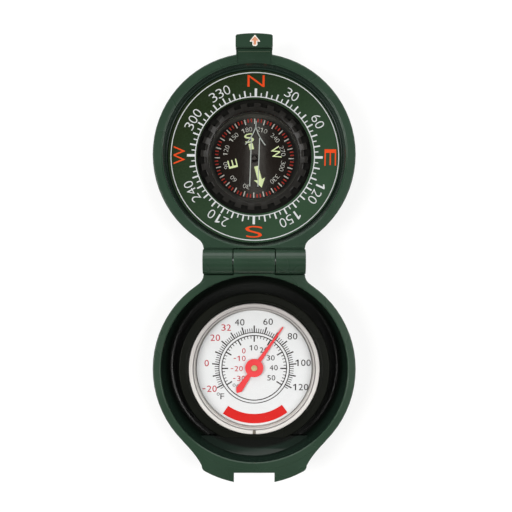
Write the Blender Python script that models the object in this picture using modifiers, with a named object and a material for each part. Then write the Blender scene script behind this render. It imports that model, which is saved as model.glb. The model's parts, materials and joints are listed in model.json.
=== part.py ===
"""A folding magnetic compass with a dial thermometer, lying open on its flat backs.

The upper half carries the compass and swings about the hinge onto the lower half, which
carries the thermometer. Metres, +Z up, +Y from the thermometer half to the compass half.
The origin is the centre of the open case's footprint, on the plane it rests on.
"""

from math import asin, atan2, cos, degrees, pi, radians, sin, sqrt

import bmesh
import bpy
from mathutils import Matrix, Vector

# Case halves
CASE_RADIUS = 0.0315
CASE_DEPTH = 0.0140
CASE_DRAFT = 0.0008
BACK_ROUND = 0.0030
RIM_CHAMFER = 0.0003
FLOOR_THICKNESS = 0.0020
HINGE_OFFSET = 0.0018
CLOSED_RIM_GAP = 0.0003

# Hinge
BARREL_RADIUS = 0.00385
BARREL_LENGTH = 0.0317
CENTRE_KNUCKLE_LENGTH = 0.0127
KNUCKLE_GAP = 0.0003
KNUCKLE_CLEARANCE = 0.0004
HINGE_PIN_RADIUS = 0.0010
HINGE_PIN_CLEARANCE = 0.00015
HINGE_PIN_RECESS = 0.0003
BARREL_GROOVE_WIDTH = 0.0005
BARREL_GROOVE_DEPTH = 0.0012
NECK_THICKNESS = 0.0066
NECK_CORNER = 0.0020
STOP_GAP = 0.0003
RIM_STEP = 0.0001
NECK_STEP = 0.0001

# Latch on the compass half, and the lip that it hooks under on the thermometer half
LATCH_WIDTH = 0.0114
LATCH_HEAD_THICKNESS = 0.0041
LATCH_ARM_THICKNESS = 0.0030
LATCH_ARM_DIP = 0.0004
LATCH_HEAD_HEIGHT = 0.0036
LATCH_CORNER = 0.0004
LATCH_BARB_DEPTH = 0.00025
LATCH_BARB_CLEARANCE = 0.00015
LIP_THICKNESS = 0.0018
LIP_SHIFT = 0.0042
LIP_HALF_WIDTH = 0.0163
LIP_BLEND_HALF_WIDTH = 0.0222
LIP_KNEE_HALF_WIDTH = 0.0177
LIP_CORNER = 0.0012
NOTCH_SIDE_CLEARANCE = 0.0006
NOTCH_WALL = 0.0007
LIP_UNDER_CLEARANCE = 0.0003

# Compass half, inside
LID_WALL = 0.00285
RECESS_TAPER = 0.0010
DIAL_DEPTH = 0.0030
DIAL_THICKNESS = 0.0010
DIAL_HOLE_CLEARANCE = 0.00115
DIAL_LEDGE_WIDTH = 0.0013
CAPSULE_OFFSET = 0.00035
WELL_WALL = 0.0013
WELL_HEIGHT = 0.0026

# Rotating capsule
KNURL_RADIUS = 0.01685
KNURL_COUNT = 24
KNURL_DEPTH = 0.0012
KNURL_TURN_DEG = 4.0
KNURL_SHARE = 0.5
KNURL_BELOW_DIAL = 0.0004
RING_TRAP_WIDTH = 0.00245
RING_TRAP_THICKNESS = 0.0008
WINDOW_RADIUS = 0.0144
WINDOW_DEPTH = 0.0007
WINDOW_LIP = 0.0017
RING_SKIRT = 0.0008
CAPSULE_RADIUS = 0.0162
CAPSULE_WALL = 0.0016
CAPSULE_FLOOR = 0.0010
LENS_THICKNESS = 0.0010
GASKET_THICKNESS = 0.0005
FRICTION_CORD = 0.00045
FRICTION_SEAT = 0.0006
FRICTION_HEIGHT = 0.0011
FRICTION_GAP = 0.0002
PLUG_RADIUS = 0.0012
PLUG_PLACE = 0.0095
RING_TURN_DEG = -2.0

# Floating card
CARD_RADIUS = 0.0129
CARD_THICKNESS = 0.0004
CARD_DEPTH = 0.0086
MAGNET_LENGTH = 0.0150
MAGNET_WIDTH = 0.0032
MAGNET_THICKNESS = 0.0006
JEWEL_RADIUS = 0.00095
JEWEL_BORE = 0.00055
JEWEL_RISE = 0.0007
PIVOT_RADIUS = 0.00035
PIVOT_POINT = 0.0008
PIVOT_GAP = 0.0002
PIVOT_BOSS_RADIUS = 0.0016
PIVOT_SEAT_DEPTH = 0.0010
CARD_NORTH_DEG = -165.7

# Thermometer half, inside
CUP_WALL = 0.0025
BOWL_DRAFT = 0.0006
BOWL_ROUND = 0.0022
THERMOMETER_OFFSET = 0.0005
HOLDER_SEAT_DEPTH = 0.0004
SCOOP_START_HEIGHT = 0.0040
SCOOP_KNEE_HEIGHT = 0.0050
SCOOP_END_HEIGHT = 0.0064
SCOOP_LEDGE = 0.0028
SCOOP_HALF_WIDTH = 0.0240

# Thermometer
INSTRUMENT_RADIUS = 0.0206
HOLDER_WALL = 0.0007
HOLDER_FLOOR = 0.0010
HOLDER_FLANGE_RADIUS = 0.0239
HOLDER_FLANGE_THICKNESS = 0.0012
HOLDER_FLANGE_DEPTH = 0.0052
HOLDER_LIP_RISE = 0.0004
HOLDER_FLAT_CLEARANCE = 0.0001
INSTRUMENT_FLOOR = 0.0010
INSTRUMENT_HEIGHT = 0.00465
INSTRUMENT_BORE = 0.0186
DIAL_LEDGE_BORE = 0.0174
DIAL_LEDGE_HEIGHT = 0.0017
SCALE_RADIUS = 0.0183
SCALE_THICKNESS = 0.0004
SCALE_HOLE_CLEARANCE = 0.0003
COVER_LENS_RADIUS = 0.01915
COVER_LENS_THICKNESS = 0.0008
BEZEL_WINDOW_RADIUS = 0.0188
BEZEL_LIP_THICKNESS = 0.0005
BEZEL_BORE_CLEARANCE = 0.00015
BEZEL_SLOT_WIDTH = 0.0010
POINTER_HUB_RADIUS = 0.0029
POINTER_HUB_THICKNESS = 0.00055
POINTER_THICKNESS = 0.0003
POINTER_REACH = 0.0159
POINTER_TIP_WIDTH = 0.0004
POINTER_ROOT_WIDTH = 0.0014
POINTER_TAIL_REACH = 0.0096
POINTER_TAIL_WIDE_REACH = 0.0084
POINTER_TAIL_WIDTH = 0.0022
POINTER_TAIL_END_WIDTH = 0.0003
POINTER_REST_DEG = -35.1
SPINDLE_RADIUS = 0.0005
SPINDLE_COLLAR_RADIUS = 0.0009
SPINDLE_HEAD_RADIUS = 0.00095
SPINDLE_HEAD_THICKNESS = 0.0002
SPINDLE_CLEARANCE = 0.00015
BUSH_RADIUS = 0.0016
COIL_TURNS = 4.5
COIL_OUTER_RADIUS = 0.0070
COIL_STRIP_THICKNESS = 0.00025
COIL_STRIP_HEIGHT = 0.0010
COIL_RISE = 0.0005
COIL_POST_RADIUS = 0.0006

# Space left between pieces that rest on or in each other, and overlap of joined shapes
FIT = 0.0003
OVERLAP = 0.0010
THROUGH = 0.0005

# Facets of the round pieces
CASE_STEPS = 72
RING_STEPS = 48
HIDDEN_STEPS = 36
SMALL_STEPS = 20
ROUND_POINTS = 5
COIL_STEPS_PER_TURN = 20
TORUS_SIDES = 6
SHARP_EDGE_DEG = 35

# Places worked out from the sizes above
RIM_Z = CASE_DEPTH
HINGE_Z = RIM_Z + CLOSED_RIM_GAP / 2
CENTRE_TO_HINGE = CASE_RADIUS + HINGE_OFFSET
NOTCH_HALF_WIDTH = LATCH_WIDTH / 2 + NOTCH_SIDE_CLEARANCE
NOTCH_FLOOR_REACH = CASE_RADIUS + NOTCH_WALL
LIP_REACH = LIP_SHIFT + sqrt(CASE_RADIUS**2 - NOTCH_HALF_WIDTH**2)
LATCH_HEAD_START = NOTCH_FLOOR_REACH + LATCH_BARB_CLEARANCE + LATCH_BARB_DEPTH
LATCH_END = LATCH_HEAD_START + LATCH_HEAD_THICKNESS
HINGE_Y = (LIP_REACH - LATCH_END) / 2
LID_Y = HINGE_Y + CENTRE_TO_HINGE
CUP_Y = HINGE_Y - CENTRE_TO_HINGE
CAPSULE_Y = LID_Y - CAPSULE_OFFSET
THERMOMETER_Y = CUP_Y - THERMOMETER_OFFSET

RECESS_RADIUS = CASE_RADIUS - LID_WALL
BOWL_RADIUS = CASE_RADIUS - CUP_WALL
DIAL_RADIUS = RECESS_RADIUS - RECESS_TAPER - CAPSULE_OFFSET - FIT
PLATE_TOP = RIM_Z - DIAL_DEPTH
PLATE_BOTTOM = PLATE_TOP - DIAL_THICKNESS
PLATE_HOLE = KNURL_RADIUS + DIAL_HOLE_CLEARANCE
PLATE_SEAT_RADIUS = DIAL_RADIUS + FIT
KNURL_TOP = PLATE_TOP - KNURL_BELOW_DIAL
TRAP_TOP = PLATE_BOTTOM - FIT
TRAP_BOTTOM = TRAP_TOP - RING_TRAP_THICKNESS
WINDOW_TOP = PLATE_TOP - WINDOW_DEPTH
WINDOW_BOTTOM = WINDOW_TOP - WINDOW_LIP
LENS_TOP = WINDOW_BOTTOM - FIT
LENS_BOTTOM = LENS_TOP - LENS_THICKNESS
GASKET_TOP = LENS_BOTTOM - FIT
GASKET_BOTTOM = GASKET_TOP - GASKET_THICKNESS
CAPSULE_TOP = GASKET_BOTTOM - FIT
CAPSULE_BOTTOM = FLOOR_THICKNESS + FIT
CAPSULE_FLOOR_TOP = CAPSULE_BOTTOM + CAPSULE_FLOOR
WELL_RADIUS = CAPSULE_RADIUS + 2 * FRICTION_CORD - FRICTION_SEAT + FRICTION_GAP + FIT
WELL_TOP = FLOOR_THICKNESS + WELL_HEIGHT
SKIRT_BORE = CAPSULE_RADIUS + FIT
SKIRT_BOTTOM = WELL_TOP + FIT
FRICTION_Z = CAPSULE_BOTTOM + FRICTION_HEIGHT
CARD_TOP = RIM_Z - CARD_DEPTH
CARD_BOTTOM = CARD_TOP - CARD_THICKNESS
MAGNET_TOP = CARD_BOTTOM - FIT
MAGNET_BOTTOM = MAGNET_TOP - MAGNET_THICKNESS
CARD_HOLE = JEWEL_RADIUS + FIT
JEWEL_TOP = CARD_TOP + JEWEL_RISE
JEWEL_BOTTOM = MAGNET_BOTTOM - FIT / 2
PIVOT_BOSS_TOP = JEWEL_BOTTOM - FIT
PIVOT_BOTTOM = PIVOT_BOSS_TOP - PIVOT_SEAT_DEPTH + SPINDLE_CLEARANCE

HOLDER_BOTTOM = FLOOR_THICKNESS - HOLDER_SEAT_DEPTH + FIT
HOLDER_FLOOR_TOP = HOLDER_BOTTOM + HOLDER_FLOOR
HOLDER_BORE = INSTRUMENT_RADIUS + FIT
HOLDER_RADIUS = HOLDER_BORE + HOLDER_WALL
FLANGE_TOP = RIM_Z - HOLDER_FLANGE_DEPTH
FLANGE_BOTTOM = FLANGE_TOP - HOLDER_FLANGE_THICKNESS
HOLDER_FLAT = HOLDER_RADIUS + HOLDER_FLAT_CLEARANCE
INSTRUMENT_BOTTOM = HOLDER_FLOOR_TOP + FIT
INSTRUMENT_FLOOR_TOP = INSTRUMENT_BOTTOM + INSTRUMENT_FLOOR
INSTRUMENT_TOP = INSTRUMENT_BOTTOM + INSTRUMENT_HEIGHT
SCALE_SEAT = INSTRUMENT_FLOOR_TOP + DIAL_LEDGE_HEIGHT
SCALE_BOTTOM = SCALE_SEAT + FIT
SCALE_TOP = SCALE_BOTTOM + SCALE_THICKNESS
SPINDLE_HOLE = SPINDLE_RADIUS + SCALE_HOLE_CLEARANCE
POINTER_BOTTOM = SCALE_TOP + FIT
POINTER_HUB_TOP = POINTER_BOTTOM + POINTER_HUB_THICKNESS
SPINDLE_HEAD_BOTTOM = POINTER_HUB_TOP + SPINDLE_CLEARANCE
SPINDLE_TOP = SPINDLE_HEAD_BOTTOM + SPINDLE_HEAD_THICKNESS
COVER_BOTTOM = INSTRUMENT_TOP + FIT
COVER_TOP = COVER_BOTTOM + COVER_LENS_THICKNESS
BEZEL_LIP_BOTTOM = COVER_TOP + FIT
BEZEL_TOP = BEZEL_LIP_BOTTOM + BEZEL_LIP_THICKNESS
COIL_BOTTOM = INSTRUMENT_FLOOR_TOP + COIL_RISE
COIL_TOP = COIL_BOTTOM + COIL_STRIP_HEIGHT
SPINDLE_BOTTOM = HOLDER_FLOOR_TOP + FIT
SCOOP_START = HOLDER_FLAT + FIT


def clear_scene():
    for old in list(bpy.data.objects):
        bpy.data.objects.remove(old, do_unlink=True)


def new_collection(name):
    collection = bpy.data.collections.new(name)
    bpy.context.scene.collection.children.link(collection)
    return collection


clear_scene()
PARTS = new_collection("magnetic_compass")
CUTTERS = new_collection("cutters")


def new_material(name, colour, roughness, metallic=0.0, transmission=0.0):
    material = bpy.data.materials.new(name)
    material.use_nodes = True
    shader = material.node_tree.nodes["Principled BSDF"]
    shader.inputs["Base Color"].default_value = (*colour, 1.0)
    shader.inputs["Roughness"].default_value = roughness
    shader.inputs["Metallic"].default_value = metallic
    shader.inputs["Transmission Weight"].default_value = transmission
    material.diffuse_color = (*colour, 1.0)
    return material


def new_object(name, mesh, material=None):
    """A piece when it has a material, and otherwise a hidden shape that cuts or joins others."""
    obj = bpy.data.objects.new(name, mesh)
    if material is None:
        CUTTERS.objects.link(obj)
        obj.hide_render = True
        obj.display_type = "WIRE"
        return obj
    PARTS.objects.link(obj)
    mesh.materials.append(material)
    mesh.shade_smooth()
    mesh.set_sharp_from_angle(angle=radians(SHARP_EDGE_DEG))
    return obj


def hang(obj, empty):
    """Hangs an object that is already in place on a joint's empty."""
    obj.parent = empty
    obj.matrix_parent_inverse = Matrix.Translation(-axis_place(empty))


def place(obj, x, y, parent=None, turn_deg=0.0):
    """Puts an object whose heights are already in its mesh at x, y, and hangs it on an empty."""
    obj.location = (x, y, 0.0)
    obj.rotation_euler.z = radians(turn_deg)
    if parent is not None:
        hang(obj, parent)


def axis_place(empty):
    place_now = Vector(empty.location)
    if empty.parent is not None:
        place_now += axis_place(empty.parent)
    return place_now


def joint_axis(name, location, parent=None):
    """An empty on a joint's axis, which carries the pieces that turn about it."""
    empty = bpy.data.objects.new(name, None)
    empty.empty_display_size = CASE_DEPTH
    PARTS.objects.link(empty)
    place_now = Vector(location)
    if parent is not None:
        place_now -= axis_place(parent)
        empty.parent = parent
    empty.location = place_now
    return empty


def turned(name, profile, steps, material=None, closed=False):
    """A profile of (radius, height) points, which run down its outer side, turned about Z."""
    mesh = bpy.data.meshes.new(name)
    edges = [(i, i + 1) for i in range(len(profile) - 1)]
    if closed:
        edges.append((len(profile) - 1, 0))
    mesh.from_pydata([(r, 0.0, z) for r, z in profile], edges, [])
    obj = new_object(name, mesh, material)
    screw = obj.modifiers.new("Turn", "SCREW")
    screw.axis = "Z"
    screw.angle = 2 * pi
    screw.steps = steps
    screw.render_steps = steps
    screw.use_merge_vertices = True
    screw.merge_threshold = 0.000001
    screw.use_smooth_shade = True
    if material is not None:
        keep_edges_sharp(obj)
    return obj


def keep_edges_sharp(obj):
    """Bakes a turned piece into its mesh, so that its corners shade sharp and its curves smooth."""
    bpy.context.view_layer.update()
    evaluated = obj.evaluated_get(bpy.context.evaluated_depsgraph_get())
    baked = bpy.data.meshes.new_from_object(evaluated)
    baked.name = obj.name
    baked.shade_smooth()
    baked.set_sharp_from_angle(angle=radians(SHARP_EDGE_DEG))
    obj.modifiers.clear()
    obj.data = baked


def ring_profile(inner, outer, bottom, top):
    return [(outer, top), (outer, bottom), (inner, bottom), (inner, top)]


def disc_profile(radius, bottom, top):
    return [(0.0, top), (radius, top), (radius, bottom), (0.0, bottom)]


def box(name, low, high, material=None):
    mesh = bpy.data.meshes.new(name)
    shape = bmesh.new()
    bmesh.ops.create_cube(shape, size=1.0)
    size = Vector(high) - Vector(low)
    middle = (Vector(high) + Vector(low)) / 2
    shape.transform(Matrix.Translation(middle) @ Matrix.Diagonal((*size, 1.0)))
    shape.to_mesh(mesh)
    shape.free()
    return new_object(name, mesh, material)


def rod(name, radius, length, steps, material=None, places=(0.0,)):
    """A cylinder along X through the origin, or one at each of several places along X."""
    mesh = bpy.data.meshes.new(name)
    shape = bmesh.new()
    for middle in places:
        turn = Matrix.Translation((middle, 0.0, 0.0)) @ Matrix.Rotation(pi / 2, 4, "Y")
        bmesh.ops.create_cone(
            shape,
            cap_ends=True,
            segments=steps,
            radius1=radius,
            radius2=radius,
            depth=length,
            matrix=turn,
        )
    shape.to_mesh(mesh)
    shape.free()
    return new_object(name, mesh, material)


def oblique_plug(name, low_radius, low_z, low_y, high_radius, high_z, high_y):
    """A cone between two level circles whose centres may lie one beside the other."""
    mesh = bpy.data.meshes.new(name)
    shape = bmesh.new()
    bmesh.ops.create_cone(
        shape,
        cap_ends=True,
        segments=CASE_STEPS,
        radius1=low_radius,
        radius2=high_radius,
        depth=high_z - low_z,
    )
    for vertex in shape.verts:
        vertex.co.y += high_y if vertex.co.z > 0 else low_y
        vertex.co.z += (high_z + low_z) / 2
    shape.to_mesh(mesh)
    shape.free()
    return new_object(name, mesh)


def plate(name, outline, bottom, top, material=None):
    """A flat outline of (x, y) points, filled and given a thickness."""
    curve = bpy.data.curves.new(name, "CURVE")
    curve.dimensions = "2D"
    curve.fill_mode = "BOTH"
    curve.extrude = (top - bottom) / 2
    spline = curve.splines.new("POLY")
    spline.points.add(len(outline) - 1)
    for point, (x, y) in zip(spline.points, outline):
        point.co = (x, y, 0.0, 1.0)
    spline.use_cyclic_u = True
    flat = bpy.data.objects.new(name + "_outline", curve)
    CUTTERS.objects.link(flat)
    bpy.context.view_layer.update()
    evaluated = flat.evaluated_get(bpy.context.evaluated_depsgraph_get())
    mesh = bpy.data.meshes.new_from_object(evaluated)
    mesh.name = name
    bpy.data.objects.remove(flat, do_unlink=True)
    shape = bmesh.new()
    shape.from_mesh(mesh)
    bmesh.ops.remove_doubles(shape, verts=shape.verts, dist=0.000001)
    bmesh.ops.translate(shape, verts=shape.verts, vec=(0.0, 0.0, (top + bottom) / 2))
    bmesh.ops.recalc_face_normals(shape, faces=shape.faces)
    shape.to_mesh(mesh)
    shape.free()
    return new_object(name, mesh, material)


def boolean(target, tool, operation):
    modifier = target.modifiers.new(tool.name, "BOOLEAN")
    modifier.operation = operation
    modifier.solver = "EXACT"
    modifier.object = tool


def join(target, tool):
    boolean(target, tool, "UNION")


def cut(target, tool):
    boolean(target, tool, "DIFFERENCE")


def arc(centre_x, centre_y, radius, start_deg, end_deg, count):
    """Points on an arc, its angles counted anticlockwise from +X."""
    points = []
    for i in range(count):
        angle = radians(start_deg + (end_deg - start_deg) * i / (count - 1))
        points.append((centre_x + radius * cos(angle), centre_y + radius * sin(angle)))
    return points


def bend(start, corner, end, count):
    """Points on a smooth corner from start to end, which leaves and arrives along the two sides."""
    points = []
    for i in range(count):
        t = i / (count - 1)
        weights = ((1 - t) ** 2, 2 * t * (1 - t), t**2)
        x = sum(w * p[0] for w, p in zip(weights, (start, corner, end)))
        y = sum(w * p[1] for w, p in zip(weights, (start, corner, end)))
        points.append((x, y))
    return points


def mirrored(outline):
    """The outline given for +X, from its far end to its near end, closed with its mirror image."""
    return outline + [(-x, y) for x, y in reversed(outline)]


def make_materials():
    return {
        "case_green": new_material("case_green", (0.043, 0.075, 0.050), 0.42),
        "dial_green": new_material("dial_green", (0.026, 0.058, 0.030), 0.50),
        "ring_black": new_material("ring_black", (0.016, 0.017, 0.016), 0.45),
        "holder_black": new_material("holder_black", (0.013, 0.014, 0.012), 0.40),
        "clear_lens": new_material("clear_lens", (0.95, 0.96, 0.96), 0.05, 0.0, 1.0),
        "rubber_black": new_material("rubber_black", (0.012, 0.012, 0.012), 0.75),
        "card_black": new_material("card_black", (0.012, 0.011, 0.010), 0.55),
        "magnet_grey": new_material("magnet_grey", (0.110, 0.110, 0.115), 0.40, 0.8),
        "brass": new_material("brass", (0.560, 0.400, 0.160), 0.30, 1.0),
        "steel": new_material("steel", (0.550, 0.550, 0.560), 0.28, 1.0),
        "bimetal": new_material("bimetal", (0.450, 0.380, 0.300), 0.35, 1.0),
        "case_white": new_material("case_white", (0.640, 0.640, 0.630), 0.38),
        "scale_white": new_material("scale_white", (0.760, 0.760, 0.755), 0.55),
        "pointer_red": new_material("pointer_red", (0.700, 0.050, 0.060), 0.40),
    }


def half_body(name, centre_y, material):
    """One half of the case as a solid: flat back, rounded edge, slightly tapered side, flat rim."""
    back_radius = CASE_RADIUS - CASE_DRAFT
    profile = [(0.0, RIM_Z), (CASE_RADIUS - RIM_CHAMFER, RIM_Z), (CASE_RADIUS, RIM_Z - RIM_CHAMFER)]
    profile += arc(back_radius - BACK_ROUND, BACK_ROUND, BACK_ROUND, 0, -90, ROUND_POINTS)
    profile.append((0.0, 0.0))
    obj = turned(name, profile, CASE_STEPS, material)
    obj.location = (0.0, centre_y, 0.0)
    return obj


def neck(name, side):
    """The block from the case to the hinge, with its corners flared into the round case.

    side is +1 for the compass half and -1 for the thermometer half.
    """
    half = BARREL_LENGTH / 2 - NECK_STEP
    spread = half + NECK_CORNER
    corner_y = CENTRE_TO_HINGE - sqrt(CASE_RADIUS**2 - half**2)
    flare_y = CENTRE_TO_HINGE - sqrt(CASE_RADIUS**2 - spread**2)
    outline = [(spread - OVERLAP, flare_y + 2 * OVERLAP)]
    outline += bend((spread, flare_y), (half, corner_y), (half, corner_y - NECK_CORNER), ROUND_POINTS)
    outline.append((half, STOP_GAP / 2))
    outline = [(x, side * y) for x, y in outline]
    return plate(name, mirrored(outline), HINGE_Z - NECK_THICKNESS, RIM_Z - RIM_STEP)


def knuckles(name, start, end, places):
    """Barrel lengths between two distances from the middle, on the sides that places gives."""
    middle = (start + end) / 2
    middles = [side * middle for side in places]
    obj = rod(name, BARREL_RADIUS, end - start, RING_STEPS // 2, places=middles)
    obj.location = (0.0, HINGE_Y, HINGE_Z)
    return obj


def knuckle_clearance(name, start, end, places):
    """The room for the other half's knuckles, which also trims the ends of this half's own."""
    middles = [side * (start + end) / 2 for side in places]
    radius = BARREL_RADIUS + KNUCKLE_CLEARANCE
    obj = rod(name, radius, end - start, RING_STEPS // 2, places=middles)
    obj.location = (0.0, HINGE_Y, HINGE_Z)
    return obj


def make_cup_shell(materials):
    shell = half_body("cup_shell", CUP_Y, materials["case_green"])

    cup_neck = neck("cup_neck", -1)
    cup_neck.location = (0.0, HINGE_Y, 0.0)
    join(shell, cup_neck)

    lip = plate("cup_lip", lip_outline(), RIM_Z - LIP_THICKNESS, RIM_Z - RIM_STEP)
    lip.location = (0.0, CUP_Y, 0.0)
    join(shell, lip)

    half_knuckle = CENTRE_KNUCKLE_LENGTH / 2
    beyond = BARREL_LENGTH / 2 + OVERLAP
    join(shell, knuckles("cup_knuckle", -half_knuckle - OVERLAP, half_knuckle + OVERLAP, (1,)))
    cut(shell, knuckle_clearance("cup_knuckle_clearance", half_knuckle, beyond, (-1, 1)))
    cut(shell, make_pin_bore("cup_pin_bore"))

    cut(shell, make_bowl_cutter())
    seat = turned(
        "holder_seat",
        disc_profile(HOLDER_RADIUS + FIT, FLOOR_THICKNESS - HOLDER_SEAT_DEPTH, FLOOR_THICKNESS + OVERLAP),
        CASE_STEPS,
    )
    seat.location = (0.0, THERMOMETER_Y, 0.0)
    cut(shell, seat)


def lip_outline():
    """The front lip: the case circle moved forward, notched for the latch, blended into the sides."""
    corner_y = -LIP_SHIFT - sqrt(CASE_RADIUS**2 - LIP_HALF_WIDTH**2)
    notch_deg = degrees(atan2(NOTCH_HALF_WIDTH, LIP_REACH - LIP_SHIFT))
    corner_deg = degrees(atan2(LIP_HALF_WIDTH, -corner_y - LIP_SHIFT) - LIP_CORNER / CASE_RADIUS)
    blend = (LIP_BLEND_HALF_WIDTH, -sqrt(CASE_RADIUS**2 - LIP_BLEND_HALF_WIDTH**2))
    knee = (LIP_KNEE_HALF_WIDTH, corner_y + LIP_SHIFT)
    blend_end = (LIP_HALF_WIDTH, corner_y + LIP_CORNER)
    front = arc(0.0, -LIP_SHIFT, CASE_RADIUS, corner_deg - 90, notch_deg - 90, ROUND_POINTS)
    outline = [(LIP_BLEND_HALF_WIDTH - OVERLAP, blend[1] + OVERLAP)]
    outline += bend(blend, knee, blend_end, ROUND_POINTS + 1)[:-1]
    outline += bend(blend_end, (LIP_HALF_WIDTH, corner_y), front[0], ROUND_POINTS)
    outline += front[1:]
    outline.append((NOTCH_HALF_WIDTH, -NOTCH_FLOOR_REACH))
    return mirrored(outline)


def make_bowl_cutter():
    """The space inside the thermometer half, less the finger scoop in front of the thermometer."""
    floor_radius = BOWL_RADIUS - BOWL_DRAFT - BOWL_ROUND
    above = RIM_Z + THROUGH
    mouth_radius = BOWL_RADIUS + RIM_CHAMFER + THROUGH
    profile = [(0.0, above), (mouth_radius, above), (BOWL_RADIUS, RIM_Z - RIM_CHAMFER)]
    corner = arc(floor_radius, FLOOR_THICKNESS + BOWL_ROUND, BOWL_ROUND, 0, -90, ROUND_POINTS)
    profile += corner
    profile.append((0.0, FLOOR_THICKNESS))
    bowl = turned("bowl", profile, CASE_STEPS)
    bowl.location = (0.0, CUP_Y, 0.0)
    cut(bowl, make_scoop())
    return bowl


def make_scoop():
    """The ramp in front of the thermometer holder: a gentle slope, then a steeper ledge at the wall.

    It is drawn lying down, and the turn that stands it up also mirrors it.
    """
    end = BOWL_RADIUS - THERMOMETER_OFFSET
    slope = (SCOOP_END_HEIGHT - SCOOP_KNEE_HEIGHT) / SCOOP_LEDGE
    outline = [
        (SCOOP_START, 0.0),
        (SCOOP_START, SCOOP_START_HEIGHT),
        (end - SCOOP_LEDGE, SCOOP_KNEE_HEIGHT),
        (CASE_RADIUS, SCOOP_END_HEIGHT + slope * (CASE_RADIUS - end)),
        (CASE_RADIUS, 0.0),
    ]
    scoop = plate("finger_scoop", outline, -SCOOP_HALF_WIDTH, SCOOP_HALF_WIDTH)
    stand_up = Matrix(((0, 0, 1, 0), (-1, 0, 0, 0), (0, 1, 0, 0), (0, 0, 0, 1)))
    scoop.data.transform(stand_up)
    scoop.data.flip_normals()
    scoop.location = (0.0, THERMOMETER_Y, 0.0)
    return scoop


def make_pin_bore(name):
    bore = rod(name, HINGE_PIN_RADIUS + HINGE_PIN_CLEARANCE, BARREL_LENGTH + 2 * OVERLAP, SMALL_STEPS)
    bore.location = (0.0, HINGE_Y, HINGE_Z)
    return bore


def make_lid_shell(materials, lid_axis):
    shell = half_body("lid_shell", LID_Y, materials["case_green"])

    lid_neck = neck("lid_neck", 1)
    lid_neck.location = (0.0, HINGE_Y, 0.0)
    join(shell, lid_neck)

    arm, head, barb = make_latch()
    join(shell, arm)
    cut(shell, make_latch_dip())
    join(shell, head)
    join(shell, barb)

    for side in (-1, 1):
        cut(shell, make_barrel_groove(side))
    gap_end = CENTRE_KNUCKLE_LENGTH / 2 + KNUCKLE_GAP
    join(shell, knuckles("lid_knuckles", gap_end - OVERLAP, BARREL_LENGTH / 2, (-1, 1)))
    cut(shell, knuckle_clearance("lid_knuckle_clearance", -gap_end, gap_end, (1,)))
    cut(shell, make_pin_bore("lid_pin_bore"))

    for cutter in make_recess_cutters():
        cut(shell, cutter)
    hang(shell, lid_axis)


def make_latch():
    """The arm just below the rim, and the head on it with a barb on its inner face."""
    half = LATCH_WIDTH / 2
    arm_half = half - NECK_STEP
    arm = box(
        "latch_arm",
        (-arm_half, RECESS_RADIUS - OVERLAP, RIM_Z - LATCH_ARM_THICKNESS),
        (arm_half, LATCH_HEAD_START + OVERLAP, RIM_Z - RIM_STEP),
    )

    head_top = RIM_Z + LATCH_HEAD_HEIGHT
    end_deg = degrees(asin((half - LATCH_CORNER) / LATCH_END))
    corner_reach = sqrt(LATCH_END**2 - (half - LATCH_CORNER) ** 2)
    outline = [(half, LATCH_HEAD_START), (half, corner_reach - LATCH_CORNER)]
    outline += arc(0.0, 0.0, LATCH_END, 90 - end_deg, 90 + end_deg, 2 * ROUND_POINTS - 1)
    outline += [(-half, corner_reach - LATCH_CORNER), (-half, LATCH_HEAD_START)]
    head = plate("latch_head", outline, RIM_Z - LATCH_ARM_THICKNESS + OVERLAP, head_top)

    barb_half = half - FIT
    barb_bottom = HINGE_Z + LIP_THICKNESS + CLOSED_RIM_GAP / 2 + LIP_UNDER_CLEARANCE
    barb = box(
        "latch_barb",
        (-barb_half, LATCH_HEAD_START - LATCH_BARB_DEPTH, barb_bottom),
        (barb_half, LATCH_HEAD_START + OVERLAP, head_top - LATCH_CORNER / 2),
    )
    for piece in (arm, head, barb):
        piece.location = (0.0, LID_Y, 0.0)
    return arm, head, barb


def make_latch_dip():
    """The shallow step in the rim and the arm, behind the latch head, that the other lip lies over."""
    half = LATCH_WIDTH / 2 - FIT
    dip = box(
        "latch_dip",
        (-half, RECESS_RADIUS - OVERLAP, RIM_Z - LATCH_ARM_DIP),
        (half, LATCH_HEAD_START + OVERLAP / 2, RIM_Z + THROUGH),
    )
    dip.location = (0.0, LID_Y, 0.0)
    return dip


def make_barrel_groove(side):
    """The groove between the neck and one of the compass half's own knuckles."""
    groove = box(
        "barrel_groove",
        (CENTRE_KNUCKLE_LENGTH / 2, BARREL_RADIUS / 2, RIM_Z - BARREL_GROOVE_DEPTH),
        (BARREL_LENGTH / 2 + OVERLAP, BARREL_RADIUS + BARREL_GROOVE_WIDTH, RIM_Z + THROUGH),
    )
    if side < 0:
        groove.data.transform(Matrix.Diagonal((-1.0, 1.0, 1.0, 1.0)))
        groove.data.flip_normals()
    groove.location = (0.0, HINGE_Y, 0.0)
    return groove


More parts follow.
